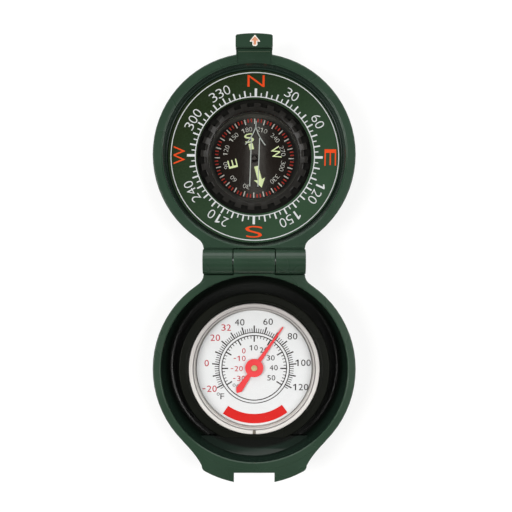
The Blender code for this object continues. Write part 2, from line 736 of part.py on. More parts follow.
def make_recess_cutters():
    """The compass half's recess: a sloped wall, then the dial's seat and the capsule's well."""
    slope = RECESS_TAPER / DIAL_DEPTH
    mouth_radius = RECESS_RADIUS + slope * THROUGH
    recess = oblique_plug(
        "recess",
        PLATE_SEAT_RADIUS + CAPSULE_OFFSET / 2,
        PLATE_TOP,
        CAPSULE_Y + CAPSULE_OFFSET / 2,
        mouth_radius,
        RIM_Z + THROUGH,
        LID_Y,
    )
    chamfer = oblique_plug(
        "recess_chamfer",
        RECESS_RADIUS,
        RIM_Z - RIM_CHAMFER,
        LID_Y,
        RECESS_RADIUS + RIM_CHAMFER + THROUGH,
        RIM_Z + THROUGH,
        LID_Y,
    )
    ledge_radius = PLATE_SEAT_RADIUS - DIAL_LEDGE_WIDTH - FIT
    ledge_top = PLATE_BOTTOM - FIT
    profile = [
        (0.0, PLATE_TOP + OVERLAP / 2),
        (PLATE_SEAT_RADIUS, PLATE_TOP + OVERLAP / 2),
        (PLATE_SEAT_RADIUS, ledge_top),
        (ledge_radius, ledge_top),
        (ledge_radius, FLOOR_THICKNESS),
        (WELL_RADIUS + WELL_WALL, FLOOR_THICKNESS),
        (WELL_RADIUS + WELL_WALL, WELL_TOP),
        (WELL_RADIUS, WELL_TOP),
        (WELL_RADIUS, FLOOR_THICKNESS),
        (0.0, FLOOR_THICKNESS),
    ]
    seat = turned("dial_seat", profile, CASE_STEPS)
    seat.location = (0.0, CAPSULE_Y, 0.0)
    return recess, chamfer, seat


def make_hinge_pin(materials):
    pin = rod(
        "hinge_pin",
        HINGE_PIN_RADIUS,
        BARREL_LENGTH - 2 * HINGE_PIN_RECESS,
        SMALL_STEPS,
        materials["steel"],
    )
    pin.location = (0.0, HINGE_Y, HINGE_Z)


def make_dial_plate(materials, lid_axis):
    profile = ring_profile(PLATE_HOLE, DIAL_RADIUS, PLATE_BOTTOM, PLATE_TOP)
    plate_obj = turned("dial_plate", profile, CASE_STEPS, materials["dial_green"], closed=True)
    place(plate_obj, 0.0, CAPSULE_Y, lid_axis)


def make_bezel_ring(materials, ring_axis):
    """The knurled ring, trapped under the dial plate, with its cone down to the window."""
    crest = KNURL_RADIUS - KNURL_DEPTH
    profile = [
        (crest, KNURL_TOP),
        (KNURL_RADIUS, KNURL_TOP - RIM_CHAMFER),
        (KNURL_RADIUS, TRAP_TOP),
        (KNURL_RADIUS + RING_TRAP_WIDTH, TRAP_TOP),
        (KNURL_RADIUS + RING_TRAP_WIDTH, TRAP_BOTTOM),
        (SKIRT_BORE + RING_SKIRT, TRAP_BOTTOM),
        (SKIRT_BORE + RING_SKIRT, SKIRT_BOTTOM),
        (SKIRT_BORE, SKIRT_BOTTOM),
        (SKIRT_BORE, WINDOW_BOTTOM),
        (WINDOW_RADIUS, WINDOW_BOTTOM),
        (WINDOW_RADIUS, WINDOW_TOP),
    ]
    ring = turned("bezel_ring", profile, RING_STEPS, materials["ring_black"], closed=True)
    place(ring, 0.0, CAPSULE_Y, ring_axis, RING_TURN_DEG)
    slots = make_knurl_slots(crest)
    slots.location = (0.0, CAPSULE_Y, 0.0)
    slots.rotation_euler.z = radians(KNURL_TURN_DEG)
    cut(ring, slots)


def make_knurl_slots(crest):
    """The spaces between the square teeth round the ring, as one shape."""
    pitch = 2 * pi / KNURL_COUNT
    width = KNURL_RADIUS * pitch * (1 - KNURL_SHARE)
    slot_depth = KNURL_RADIUS - crest + THROUGH / 2
    height = KNURL_TOP - TRAP_TOP + 2 * THROUGH
    mesh = bpy.data.meshes.new("knurl_slots")
    shape = bmesh.new()
    for i in range(KNURL_COUNT):
        middle = Vector((crest + slot_depth / 2, 0.0, TRAP_TOP + FIT + height / 2))
        turn = Matrix.Rotation(i * pitch, 4, "Z")
        size = Matrix.Diagonal((slot_depth, width, height, 1.0))
        bmesh.ops.create_cube(shape, size=1.0, matrix=turn @ Matrix.Translation(middle) @ size)
    shape.to_mesh(mesh)
    shape.free()
    return new_object("knurl_slots", mesh)


def make_capsule_body(materials, ring_axis):
    """The liquid-filled cup: an outer groove for the friction ring, and a boss for the pivot pin."""
    inner = CAPSULE_RADIUS - CAPSULE_WALL
    groove_half = FRICTION_CORD + FRICTION_GAP
    seat = PIVOT_RADIUS + SPINDLE_CLEARANCE
    profile = [
        (inner, CAPSULE_TOP),
        (CAPSULE_RADIUS, CAPSULE_TOP),
        (CAPSULE_RADIUS, FRICTION_Z + groove_half),
        (CAPSULE_RADIUS - FRICTION_SEAT, FRICTION_Z + groove_half),
        (CAPSULE_RADIUS - FRICTION_SEAT, FRICTION_Z - groove_half),
        (CAPSULE_RADIUS, FRICTION_Z - groove_half),
        (CAPSULE_RADIUS, CAPSULE_BOTTOM),
        (0.0, CAPSULE_BOTTOM),
        (0.0, PIVOT_BOSS_TOP - PIVOT_SEAT_DEPTH),
        (seat, PIVOT_BOSS_TOP - PIVOT_SEAT_DEPTH),
        (seat, PIVOT_BOSS_TOP),
        (PIVOT_BOSS_RADIUS, PIVOT_BOSS_TOP),
        (PIVOT_BOSS_RADIUS, CAPSULE_FLOOR_TOP),
        (inner, CAPSULE_FLOOR_TOP),
    ]
    body = turned("capsule_body", capsule_loop(profile), HIDDEN_STEPS, materials["ring_black"])
    place(body, 0.0, CAPSULE_Y, ring_axis, RING_TURN_DEG)
    hole = turned(
        "filler_hole",
        disc_profile(PLUG_RADIUS + FIT, CAPSULE_BOTTOM - THROUGH, CAPSULE_FLOOR_TOP + THROUGH),
        SMALL_STEPS,
    )
    hole.location = (PLUG_PLACE, CAPSULE_Y, 0.0)
    cut(body, hole)


def capsule_loop(profile):
    """Starts and ends the capsule's profile on its axis, so that it turns into a closed solid."""
    on_axis = [i for i, (r, z) in enumerate(profile) if r == 0.0]
    return profile[on_axis[-1]:] + profile[: on_axis[0] + 1]


def make_capsule_fittings(materials, ring_axis):
    lens = turned(
        "capsule_lens",
        disc_profile(CAPSULE_RADIUS, LENS_BOTTOM, LENS_TOP),
        RING_STEPS,
        materials["clear_lens"],
    )
    place(lens, 0.0, CAPSULE_Y, ring_axis, RING_TURN_DEG)

    gasket_profile = ring_profile(
        CAPSULE_RADIUS - CAPSULE_WALL, CAPSULE_RADIUS - FIT, GASKET_BOTTOM, GASKET_TOP
    )
    gasket = turned("lens_gasket", gasket_profile, HIDDEN_STEPS, materials["rubber_black"], closed=True)
    place(gasket, 0.0, CAPSULE_Y, ring_axis)

    seat_radius = CAPSULE_RADIUS - FRICTION_SEAT + FRICTION_GAP + FRICTION_CORD
    cord = [(seat_radius + x, FRICTION_Z + y) for x, y in arc(0, 0, FRICTION_CORD, 360, 0, TORUS_SIDES + 1)]
    friction = turned("friction_ring", cord[:-1], HIDDEN_STEPS, materials["rubber_black"], closed=True)
    place(friction, 0.0, CAPSULE_Y, ring_axis)

    plug = turned(
        "filler_plug",
        disc_profile(PLUG_RADIUS, CAPSULE_BOTTOM + FIT / 3, CAPSULE_FLOOR_TOP + FIT / 2),
        SMALL_STEPS,
        materials["ring_black"],
    )
    place(plug, PLUG_PLACE, CAPSULE_Y, ring_axis)

    tip = JEWEL_TOP - JEWEL_BORE - PIVOT_GAP
    pin_profile = [
        (0.0, tip),
        (PIVOT_RADIUS, tip - PIVOT_POINT),
        (PIVOT_RADIUS, PIVOT_BOTTOM),
        (0.0, PIVOT_BOTTOM),
    ]
    pin = turned("pivot_pin", pin_profile, SMALL_STEPS, materials["steel"])
    place(pin, 0.0, CAPSULE_Y, ring_axis)


def make_card(materials, card_axis):
    card = turned(
        "compass_card",
        ring_profile(CARD_HOLE, CARD_RADIUS, CARD_BOTTOM, CARD_TOP),
        RING_STEPS,
        materials["card_black"],
        closed=True,
    )
    place(card, 0.0, CAPSULE_Y, card_axis, CARD_NORTH_DEG)

    magnet = box(
        "card_magnet",
        (-MAGNET_WIDTH / 2, -MAGNET_LENGTH / 2, MAGNET_BOTTOM),
        (MAGNET_WIDTH / 2, MAGNET_LENGTH / 2, MAGNET_TOP),
        materials["magnet_grey"],
    )
    place(magnet, 0.0, CAPSULE_Y, card_axis, CARD_NORTH_DEG)
    hole = turned(
        "magnet_hole",
        disc_profile(CARD_HOLE, MAGNET_BOTTOM - THROUGH, MAGNET_TOP + THROUGH),
        SMALL_STEPS,
    )
    hole.location = (0.0, CAPSULE_Y, 0.0)
    cut(magnet, hole)

    roof = JEWEL_TOP - JEWEL_BORE
    jewel_profile = [
        (0.0, JEWEL_TOP),
        (JEWEL_RADIUS - JEWEL_BORE / 2, JEWEL_TOP),
        (JEWEL_RADIUS, JEWEL_TOP - JEWEL_BORE / 2),
        (JEWEL_RADIUS, JEWEL_BOTTOM),
        (JEWEL_BORE, JEWEL_BOTTOM),
        (JEWEL_BORE, roof - PIVOT_POINT / 2),
        (0.0, roof),
    ]
    jewel = turned("jewel_cup", jewel_profile, SMALL_STEPS, materials["card_black"])
    place(jewel, 0.0, CAPSULE_Y, card_axis)


def make_thermometer_holder(materials):
    """The black ring that carries the thermometer, its flange cut straight at the finger scoop."""
    profile = [
        (HOLDER_BORE, FLANGE_TOP + HOLDER_LIP_RISE),
        (HOLDER_RADIUS, FLANGE_TOP + HOLDER_LIP_RISE),
        (HOLDER_RADIUS, FLANGE_TOP),
        (HOLDER_FLANGE_RADIUS - RIM_CHAMFER, FLANGE_TOP),
        (HOLDER_FLANGE_RADIUS, FLANGE_TOP - RIM_CHAMFER),
        (HOLDER_FLANGE_RADIUS, FLANGE_BOTTOM),
        (HOLDER_RADIUS, FLANGE_BOTTOM),
        (HOLDER_RADIUS, HOLDER_BOTTOM),
        (0.0, HOLDER_BOTTOM),
        (0.0, HOLDER_FLOOR_TOP),
        (HOLDER_BORE, HOLDER_FLOOR_TOP),
    ]
    holder = turned("thermometer_holder", capsule_loop(profile), CASE_STEPS, materials["holder_black"])
    place(holder, 0.0, THERMOMETER_Y)
    flat = box(
        "flange_flat",
        (-HOLDER_FLANGE_RADIUS, -HOLDER_FLANGE_RADIUS - OVERLAP, FLANGE_BOTTOM - THROUGH),
        (HOLDER_FLANGE_RADIUS, -HOLDER_FLAT, FLANGE_TOP + THROUGH),
    )
    flat.location = (0.0, THERMOMETER_Y, 0.0)
    cut(holder, flat)


def make_thermometer_case(materials):
    case_profile = [
        (INSTRUMENT_BORE, INSTRUMENT_TOP),
        (INSTRUMENT_RADIUS, INSTRUMENT_TOP),
        (INSTRUMENT_RADIUS, INSTRUMENT_BOTTOM),
        (BUSH_RADIUS + FIT, INSTRUMENT_BOTTOM),
        (BUSH_RADIUS + FIT, INSTRUMENT_FLOOR_TOP),
        (DIAL_LEDGE_BORE, INSTRUMENT_FLOOR_TOP),
        (DIAL_LEDGE_BORE, SCALE_SEAT),
        (INSTRUMENT_BORE, SCALE_SEAT),
    ]
    case = turned("thermometer_case", case_profile, RING_STEPS, materials["case_white"], closed=True)
    place(case, 0.0, THERMOMETER_Y)

    scale_profile = ring_profile(SPINDLE_HOLE, SCALE_RADIUS, SCALE_BOTTOM, SCALE_TOP)
    scale = turned("thermometer_dial", scale_profile, RING_STEPS, materials["scale_white"], closed=True)
    place(scale, 0.0, THERMOMETER_Y)

    cover_profile = disc_profile(COVER_LENS_RADIUS, COVER_BOTTOM, COVER_TOP)
    cover = turned("thermometer_lens", cover_profile, RING_STEPS, materials["clear_lens"])
    place(cover, 0.0, THERMOMETER_Y)

    bore = COVER_LENS_RADIUS + BEZEL_BORE_CLEARANCE
    bezel_profile = [
        (BEZEL_WINDOW_RADIUS, BEZEL_TOP),
        (INSTRUMENT_RADIUS - RIM_CHAMFER, BEZEL_TOP),
        (INSTRUMENT_RADIUS, BEZEL_TOP - RIM_CHAMFER),
        (INSTRUMENT_RADIUS, COVER_BOTTOM),
        (bore, COVER_BOTTOM),
        (bore, BEZEL_LIP_BOTTOM),
        (BEZEL_WINDOW_RADIUS, BEZEL_LIP_BOTTOM),
    ]
    bezel = turned("thermometer_bezel", bezel_profile, CASE_STEPS, materials["case_white"], closed=True)
    place(bezel, 0.0, THERMOMETER_Y)
    slot = box(
        "bezel_slot",
        (-BEZEL_SLOT_WIDTH / 2, -INSTRUMENT_RADIUS - THROUGH, BEZEL_LIP_BOTTOM - THROUGH),
        (BEZEL_SLOT_WIDTH / 2, -BEZEL_WINDOW_RADIUS + THROUGH, BEZEL_TOP + THROUGH),
    )
    slot.location = (0.0, THERMOMETER_Y, 0.0)
    cut(bezel, slot)


def make_thermometer_movement(materials, pointer_axis):
    """The bimetal spiral with its post, the bush, and the spindle that it turns."""
    bush_profile = ring_profile(
        SPINDLE_RADIUS + SPINDLE_CLEARANCE, BUSH_RADIUS, INSTRUMENT_BOTTOM, INSTRUMENT_FLOOR_TOP + FIT / 2
    )
    bush = turned("spindle_bush", bush_profile, SMALL_STEPS, materials["brass"], closed=True)
    place(bush, 0.0, THERMOMETER_Y)

    spindle_profile = [
        (0.0, SPINDLE_TOP),
        (SPINDLE_HEAD_RADIUS, SPINDLE_TOP),
        (SPINDLE_HEAD_RADIUS, SPINDLE_HEAD_BOTTOM),
        (SPINDLE_RADIUS, SPINDLE_HEAD_BOTTOM),
        (SPINDLE_RADIUS, COIL_TOP),
        (SPINDLE_COLLAR_RADIUS, COIL_TOP),
        (SPINDLE_COLLAR_RADIUS, COIL_BOTTOM),
        (SPINDLE_RADIUS, COIL_BOTTOM),
        (SPINDLE_RADIUS, SPINDLE_BOTTOM),
        (0.0, SPINDLE_BOTTOM),
    ]
    spindle = turned("pointer_spindle", spindle_profile, SMALL_STEPS, materials["brass"])
    place(spindle, 0.0, THERMOMETER_Y, pointer_axis)

    coil = make_bimetal_coil(materials["bimetal"])
    place(coil, 0.0, THERMOMETER_Y)

    end_angle = 2 * pi * COIL_TURNS
    post_place = COIL_OUTER_RADIUS + COIL_STRIP_THICKNESS / 2 + FIT + COIL_POST_RADIUS
    post = turned(
        "coil_post",
        disc_profile(COIL_POST_RADIUS, INSTRUMENT_FLOOR_TOP + FIT, COIL_TOP),
        SMALL_STEPS,
        materials["brass"],
    )
    place(post, post_place * cos(end_angle), THERMOMETER_Y + post_place * sin(end_angle))


def make_bimetal_coil(material):
    """A flat spiral strip on edge, from just outside the spindle's collar to its post."""
    inner = SPINDLE_COLLAR_RADIUS + FIT + COIL_STRIP_THICKNESS / 2
    count = int(COIL_TURNS * COIL_STEPS_PER_TURN)
    mesh = bpy.data.meshes.new("bimetal_coil")
    shape = bmesh.new()
    last = None
    for i in range(count + 1):
        angle = 2 * pi * COIL_TURNS * i / count
        radius = inner + (COIL_OUTER_RADIUS - inner) * i / count
        low = shape.verts.new((radius * cos(angle), radius * sin(angle), COIL_BOTTOM))
        high = shape.verts.new((radius * cos(angle), radius * sin(angle), COIL_TOP))
        if last is not None:
            shape.faces.new((last[0], low, high, last[1]))
        last = (low, high)
    shape.to_mesh(mesh)
    shape.free()
    coil = new_object("bimetal_coil", mesh, material)
    strip = coil.modifiers.new("Strip", "SOLIDIFY")
    strip.thickness = COIL_STRIP_THICKNESS
    strip.offset = 0.0
    return coil


def make_pointer(materials, pointer_axis):
    """A round hub with a tapering needle ahead and a spade-shaped tail behind."""
    tip = POINTER_TIP_WIDTH / 2
    root = POINTER_ROOT_WIDTH / 2
    outline = [
        (tip, POINTER_REACH),
        (root, POINTER_HUB_RADIUS / 2),
        (root, -POINTER_HUB_RADIUS),
        (POINTER_TAIL_WIDTH / 2, -POINTER_TAIL_WIDE_REACH),
        (POINTER_TAIL_END_WIDTH / 2, -POINTER_TAIL_REACH),
    ]
    pointer = plate(
        "thermometer_pointer",
        mirrored(outline),
        POINTER_BOTTOM,
        POINTER_BOTTOM + POINTER_THICKNESS,
        materials["pointer_red"],
    )
    place(pointer, 0.0, THERMOMETER_Y, pointer_axis, POINTER_REST_DEG)
    hub_profile = disc_profile(POINTER_HUB_RADIUS, POINTER_BOTTOM, POINTER_HUB_TOP)
    hub = turned("pointer_hub", hub_profile, RING_STEPS // 2)
    hub.location = (0.0, THERMOMETER_Y, 0.0)
    join(pointer, hub)
    hole_radius = SPINDLE_RADIUS + SPINDLE_CLEARANCE
    hole_profile = disc_profile(hole_radius, POINTER_BOTTOM - THROUGH, POINTER_HUB_TOP + THROUGH)
    hole = turned("pointer_hole", hole_profile, SMALL_STEPS)
    hole.location = (0.0, THERMOMETER_Y, 0.0)
    cut(pointer, hole)


def main():
    materials = make_materials()
    lid_axis = joint_axis("lid_hinge_axis", (0.0, HINGE_Y, HINGE_Z))
    ring_axis = joint_axis("ring_axis", (0.0, CAPSULE_Y, 0.0), lid_axis)
    card_axis = joint_axis("card_axis", (0.0, CAPSULE_Y, 0.0), lid_axis)
    pointer_axis = joint_axis("pointer_axis", (0.0, THERMOMETER_Y, 0.0))

    make_cup_shell(materials)
    make_lid_shell(materials, lid_axis)
    make_hinge_pin(materials)
    make_dial_plate(materials, lid_axis)
    make_bezel_ring(materials, ring_axis)
    make_capsule_body(materials, ring_axis)
    make_capsule_fittings(materials, ring_axis)
    make_card(materials, card_axis)
    make_thermometer_holder(materials)
    make_thermometer_case(materials)
    make_thermometer_movement(materials, pointer_axis)
    make_pointer(materials, pointer_axis)


main()
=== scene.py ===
"""Looks of a folding compass with a thermometer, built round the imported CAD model.

Metres, in the model's own frame: +X along the hinge, +Y towards the compass half, +Z up.
"""

import json
from math import asin, cos, pi, radians, sin, sqrt

import bmesh
import bpy
from mathutils import Matrix, Vector


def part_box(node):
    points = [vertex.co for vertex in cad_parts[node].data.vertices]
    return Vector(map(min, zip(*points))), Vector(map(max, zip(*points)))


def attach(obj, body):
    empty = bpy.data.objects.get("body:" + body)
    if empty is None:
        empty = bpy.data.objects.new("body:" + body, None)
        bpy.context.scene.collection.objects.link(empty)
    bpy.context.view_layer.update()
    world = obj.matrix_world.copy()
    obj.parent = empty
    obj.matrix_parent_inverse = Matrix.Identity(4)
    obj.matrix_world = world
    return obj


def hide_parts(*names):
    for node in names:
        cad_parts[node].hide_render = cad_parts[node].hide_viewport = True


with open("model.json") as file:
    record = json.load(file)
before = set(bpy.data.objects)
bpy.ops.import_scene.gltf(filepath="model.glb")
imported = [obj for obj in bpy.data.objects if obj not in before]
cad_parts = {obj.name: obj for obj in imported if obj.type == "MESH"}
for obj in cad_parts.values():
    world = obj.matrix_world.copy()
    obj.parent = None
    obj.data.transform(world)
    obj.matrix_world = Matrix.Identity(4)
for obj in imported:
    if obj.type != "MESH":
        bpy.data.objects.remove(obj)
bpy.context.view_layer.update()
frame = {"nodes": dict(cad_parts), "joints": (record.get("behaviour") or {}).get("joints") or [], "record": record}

# Heights and centres, from the frame
NODES = frame["nodes"]
JOINT = {joint["name"]: joint for joint in frame["joints"]}


def top_of(node):
    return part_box(node)[1].z


def bottom_of(node):
    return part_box(node)[0].z


def radius_of(node):
    low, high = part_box(node)
    return (high.x - low.x) / 2


COMPASS_Y = JOINT["bezel_turn"]["pos_m"][1]
THERMOMETER_Y = JOINT["pointer_turn"]["pos_m"][1]
HINGE_Y = JOINT["lid_hinge"]["pos_m"][1]

# Case
HALF_SPACING = 0.0333
BOWL_RADIUS = 0.0291
LEDGE_RADIUS = 0.0258
FLOOR_TOP = 0.0020
RIM_Z = 0.0140
LATCH_TOP = 0.0176

# Heights, and distances from the middle of a half, between which the case's tone changes: painted shade and more
# gloss inside the bowls
RIM_FADE = (RIM_Z - 0.0007, RIM_Z - 0.0003)
WALL_FADE = (0.0022, 0.0050)
FLOOR_FADE = (FLOOR_TOP - 0.0006, FLOOR_TOP - 0.0002)
BOWL_FADE = (BOWL_RADIUS - 0.0001, BOWL_RADIUS + 0.0001)
LEDGE_FADE = (LEDGE_RADIUS, LEDGE_RADIUS + 0.0010)
HINGE_FADE = (-BOWL_RADIUS, BOWL_RADIUS / 3)

# Turns at rest
RING_TURN_DEG = -2.0
CARD_NORTH_DEG = -165.7

# Meshes
SHARP_ANGLE_DEG = 32.0
CAD_WELD_DISTANCE = 0.000002
WELD_DISTANCE = 0.0000005
LEAST_EDGE = 0.0000001
CIRCLE_STEPS = 192
BOX_ROUND_STEPS = 2

# Printed marks
PRINT_GAP = 0.00001
PRINT_THICKNESS = 0.00003
PRINT_SHEEN = 0.1
CHARACTER_STEPS = 5

# Figure one and minus sign, as shares of a character's height or width
ONE_STEM = 0.19
ONE_NECK = 0.25
ONE_FLAG = 0.55
ONE_FLAG_TIP = 0.18
ONE_FLAG_END = 0.32
ONE_FLAG_ROOT = 0.24
MINUS_HALF_LENGTH = 0.33
MINUS_HALF_THICKNESS = 0.075

# Dial of the compass
DIAL_TURN_DEG = -0.92
DIAL_SHIFT = 0.0002
DIAL_TINT_REACH = 0.030
DIAL_OUTER_LINE = (0.02626, 0.00026)
DIAL_INNER_LINE = (0.01868, 0.00026)
DIAL_TICKS = {90: (0.02127, 0.00076), 10: (0.02067, 0.00046), 5: (0.01992, 0.00033)}
DIAL_NUMERAL_RADIUS = 0.02258
DIAL_NUMERAL_HEIGHT = 0.00292
DIAL_NUMERAL_WIDTH = 0.00194
DIAL_NUMERAL_STEP_DEG = 6.1
DIAL_NUMERAL_WEIGHT = -0.012
DIAL_NUMERALS = ("30", "60", "120", "150", "210", "240", "300", "330")
DIAL_LETTER_RADIUS = 0.02362
DIAL_LETTER_HEIGHT = 0.00362
DIAL_LETTER_WIDTHS = {"N": 0.00536, "E": 0.00520, "S": 0.00530, "W": 0.00566}
DIAL_LETTER_WEIGHT = -0.008

# Floating card. Each letter has its angle, radius and width
CARD_TICK_OUTER = 0.01264
CARD_LONG_TICK = (0.00168, 0.00032)
CARD_SHORT_TICK = (0.00112, 0.00036)
CARD_TICK_STEP_DEG = 5
CARD_LONG_STEP_DEG = 15
CARD_NUMERAL_EVERY_DEG = 30
CARD_NUMERAL_RADIUS = 0.00935
CARD_NUMERAL_HEIGHT = 0.00138
CARD_NUMERAL_WIDTH = 0.00096
CARD_NUMERAL_STEP_DEG = 7.0
CARD_NUMERAL_WEIGHT = -0.018
CARD_LETTERS = {
    "S": (180, 0.00665, 0.00285),
    "E": (90, 0.00712, 0.00270),
    "W": (270, 0.00710, 0.00385),
}
CARD_LETTER_HEIGHT = 0.00290
CARD_LETTER_WEIGHT = -0.002
CARD_ARROW = {"start": 0.0026, "base": 0.0071, "barb": 0.00677, "tip": 0.00967}
CARD_ARROW_HALF_WIDTHS = {"shaft": 0.00068, "barb": 0.00185}
CARD_BAR = {"start": -0.00290, "end": -0.00485, "half_width": 0.00068}

# Clear lenses, and the lines on the capsule's lens
LENS_TINT = (0.998, 1.0, 0.998, 1.0)
LENS_HAZE = 0.24
LENS_INDEX = 1.27
LENS_LINE_WIDTH = 0.00032
LENS_ARROW_TIP = 0.01150
LENS_ARROW_FORK = 0.00960
LENS_ARROW_BARB = (0.00315, 0.00395)
LENS_ARROW_BOW = (0.30, 0.55)
LENS_ARROW_POINTS = 7
LENS_SHAFT_HALF_GAP = 0.00130
LENS_SHAFT_TOP = 0.00610
LENS_SHAFT_END = -0.00925
LENS_ARROW_SHIFT = 0.00019

# Thermometer scale
SCALE_F_TICKS = range(-22, 124, 2)
SCALE_C_TICKS = range(-30, 52, 2)
SCALE_MAJOR_STEP = 10
SCALE_CENTRE_F = 50
SCALE_DEG_PER_F = 1.69
SCALE_DEG_PER_C = 3.04
SCALE_CENTRE_C = 10
SCALE_OUTER_CIRCLE = (0.01121, 0.00026)
SCALE_INNER_CIRCLE = (0.01027, 0.00030)
SCALE_F_MINOR = (0.01256, 0.00023)
SCALE_F_MAJOR = (0.01345, 0.00040)
SCALE_C_MINOR = (0.00938, 0.00023)
SCALE_C_MAJOR = (0.00830, 0.00040)
SCALE_F_HEIGHT = 0.00203
SCALE_F_ADVANCE = 0.00168
SCALE_C_HEIGHT = 0.00166
SCALE_C_ADVANCE = 0.00143
SCALE_NUMERAL_ASPECT = 0.68
SCALE_NUMERAL_WEIGHT = 0.0
SCALE_F_NUMERALS = {
    "-20": (-0.01430, -0.00665),
    "0": (-0.01512, 0.00150),
    "20": (-0.01240, 0.00958),
    "32": (-0.00893, 0.01280),
    "40": (-0.00464, 0.01448),
    "60": (0.00440, 0.01467),
    "80": (0.01216, 0.01003),
    "100": (0.01560, 0.00160),
    "120": (0.01480, -0.00612),
}
SCALE_C_NUMERALS = {
    "-30": (-0.00490, -0.00338),
    "-20": (-0.00565, -0.00025),
    "-10": (-0.00475, 0.00300),
    "0": (-0.00332, 0.00541),
    "10": (-0.00015, 0.00637),
    "20": (0.00306, 0.00567),
    "30": (0.00519, 0.00316),
    "40": (0.00618, 0.00005),
    "50": (0.00541, -0.00318),
}
SCALE_RED_F = ("-20", "0", "20", "32")
SCALE_RED_C = ("-30", "-20", "-10", "0")
SCALE_UNITS = (("F", -0.01016, -0.00905, 0.00182), ("C", -0.00520, -0.00600, 0.00150))
SCALE_UNIT_ASPECT = 0.66
SCALE_DEGREE_PLACES = ((-0.01143, -0.00834), (-0.00640, -0.00548))
SCALE_DEGREE_RADIUS = 0.00040
SCALE_DEGREE_LINE = 0.00014
SCALE_DEGREE_STEPS = 20
SCALE_BANNER_RADII = (0.01466, 0.01764)
SCALE_BANNER_ENDS_DEG = (-34.5, 36.8)

# Knurled ring
KNURL_COUNT = 24
KNURL_TURN_DEG = 4.0
RING_WINDOW = 0.0144
RING_BORE = 0.0165
RING_SKIRT = 0.0173
TOOTH_ROOT = 0.01565
TOOTH_END = 0.01685
TOOTH_SIDE_DEG = 0.14
TOOTH_PARTS = 4
WINDOW_BOTTOM_Z = 0.0086
FLANGE_TOP_Z = 0.0097
FLANGE_THICKNESS = 0.0008
FLANGE_START = 0.0182
GAP_FLOOR_Z = 0.00915
GAP_SIDE = 0.00010
SLOT_SHADE_FADE = (FLANGE_TOP_Z, FLANGE_TOP_Z + 0.0004)

# Upper faces of the knurled ring: radius, and depth below the ring's top
CONE_PROFILE = (
    (RING_WINDOW, 0.00044),
    (RING_WINDOW + 0.00003, 0.00034),
    (RING_WINDOW + 0.00010, 0.00029),
    (TOOTH_ROOT - 0.00008, 0.00020),
)
TOOTH_PROFILE = (
    (TOOTH_ROOT, 0.00017),
    (TOOTH_END - 0.00024, 0.00005),
    (TOOTH_END - 0.00010, 0.00007),
    (TOOTH_END - 0.00002, 0.00016),
)
SLOT_PROFILE = (
    (TOOTH_ROOT - 0.00002, 0.00023),
    (TOOTH_ROOT, 0.00034),
)

# Snap ring of the thermometer
BEZEL_TOP = top_of("thermometer_bezel")
BEZEL_BOTTOM = bottom_of("thermometer_bezel")
BEZEL_OUTER = radius_of("thermometer_bezel")
BEZEL_REST = top_of("thermometer_lens") + PRINT_GAP
BEZEL_WINDOW = 0.0188
BEZEL_BORE = 0.0193
BEZEL_BAND = 0.0194
BEZEL_SLOT = 0.0010
BEZEL_STEPS = 160
BEZEL_BAND_DROP = 0.00022
BEZEL_INNER_DROP = 0.00024
BEZEL_INNER_ROUND = 0.00012
BEZEL_OUTER_ROUND = 0.00040
BEZEL_INNER_ARC = (170, 100, 3)
BEZEL_OUTER_ARC = (90, 0, 6)
BEZEL_SHADE_FADE = (THERMOMETER_Y - 0.012, THERMOMETER_Y + 0.020)
LIP_THICKNESS = 0.00014
LIP_WIDTH = 0.00027
LIP_INNER_ROUND = 0.00004
LIP_OUTER_ROUND = 0.00003
GROOVE_SHADE_THICKNESS = 0.00005
KEY_WIDTH = BEZEL_SLOT * 0.88
KEY_MARGIN = 0.00015
KEY_DROP = 0.00025
KEY_ROUND = 0.00005

# Ridge and arrow on the latch
LATCH_RIDGE_SIZE = (0.0100, 0.00022, 0.0004)
LATCH_RIDGE_PLACE = (0.0, 0.06435, 0.01378)
LATCH_RIDGE_ROUND = 0.00006
PRINT_LAYER = 0.00004
LATCH_ARROW_EDGE = 0.00032
LATCH_ARROW_POINT_SHRINK = 1.5
LATCH_ARROW_BARB_SHRINK = 0.9
LATCH_ARROW_CORNER = 0.0004
LATCH_ARROW_CORNER_SHARE = 0.7
LATCH_ARROW_CORNER_CUT = 0.3
LATCH_ARROW_BARB_CUT = 0.00012
LATCH_ARROW_BLUNT = 0.00010
LATCH_ARROW = {
    "x": 0.00022,
    "tip": 0.06862,
    "barb": 0.06662,
    "barb_half": 0.00158,
    "stem_half": 0.00074,
    "end": 0.06525,
}

# Photograph's camera
PHOTO_SCALE = 0.00031
PHOTO_PIXELS = 512
CAMERA_HEIGHT = 0.290
CAMERA_X = 0.00056
CAMERA_Y = HINGE_Y + 0.00175
SENSOR_WIDTH = 36.0

# Colours, as display values from 0 to 255
CASE_GREEN = (34, 55, 41)
CASE_PALE = (40, 62, 47)
# Painted highlight along the case's edges, over some wear
CASE_EDGE_HIGHLIGHT = (66, 94, 76)
# Painted shade inside the bowls: a darker green, darker still towards the hinge and low down
BOWL_SHADE_GREEN = (27, 43, 35)
BOWL_SHADE_PALE = (31, 47, 39)
BOWL_SHADE_AT_HINGE = (17, 27, 21)
BOWL_SHADE_DARK = (13, 16, 13)
DIAL_OLIVE = (25, 37, 16)
DIAL_BLUE_GREEN = (42, 65, 47)
DIAL_PALE = (52, 72, 48)
RING_BLACK = (30, 29, 27)
RING_PALE = (36, 35, 33)
PAINTED_SLOT_SHADE = (23, 23, 21)
BEZEL_WHITE = (206, 203, 199)
BEZEL_PALE = (212, 209, 205)
BEZEL_SHADE_AT_HINGE = (172, 168, 166)
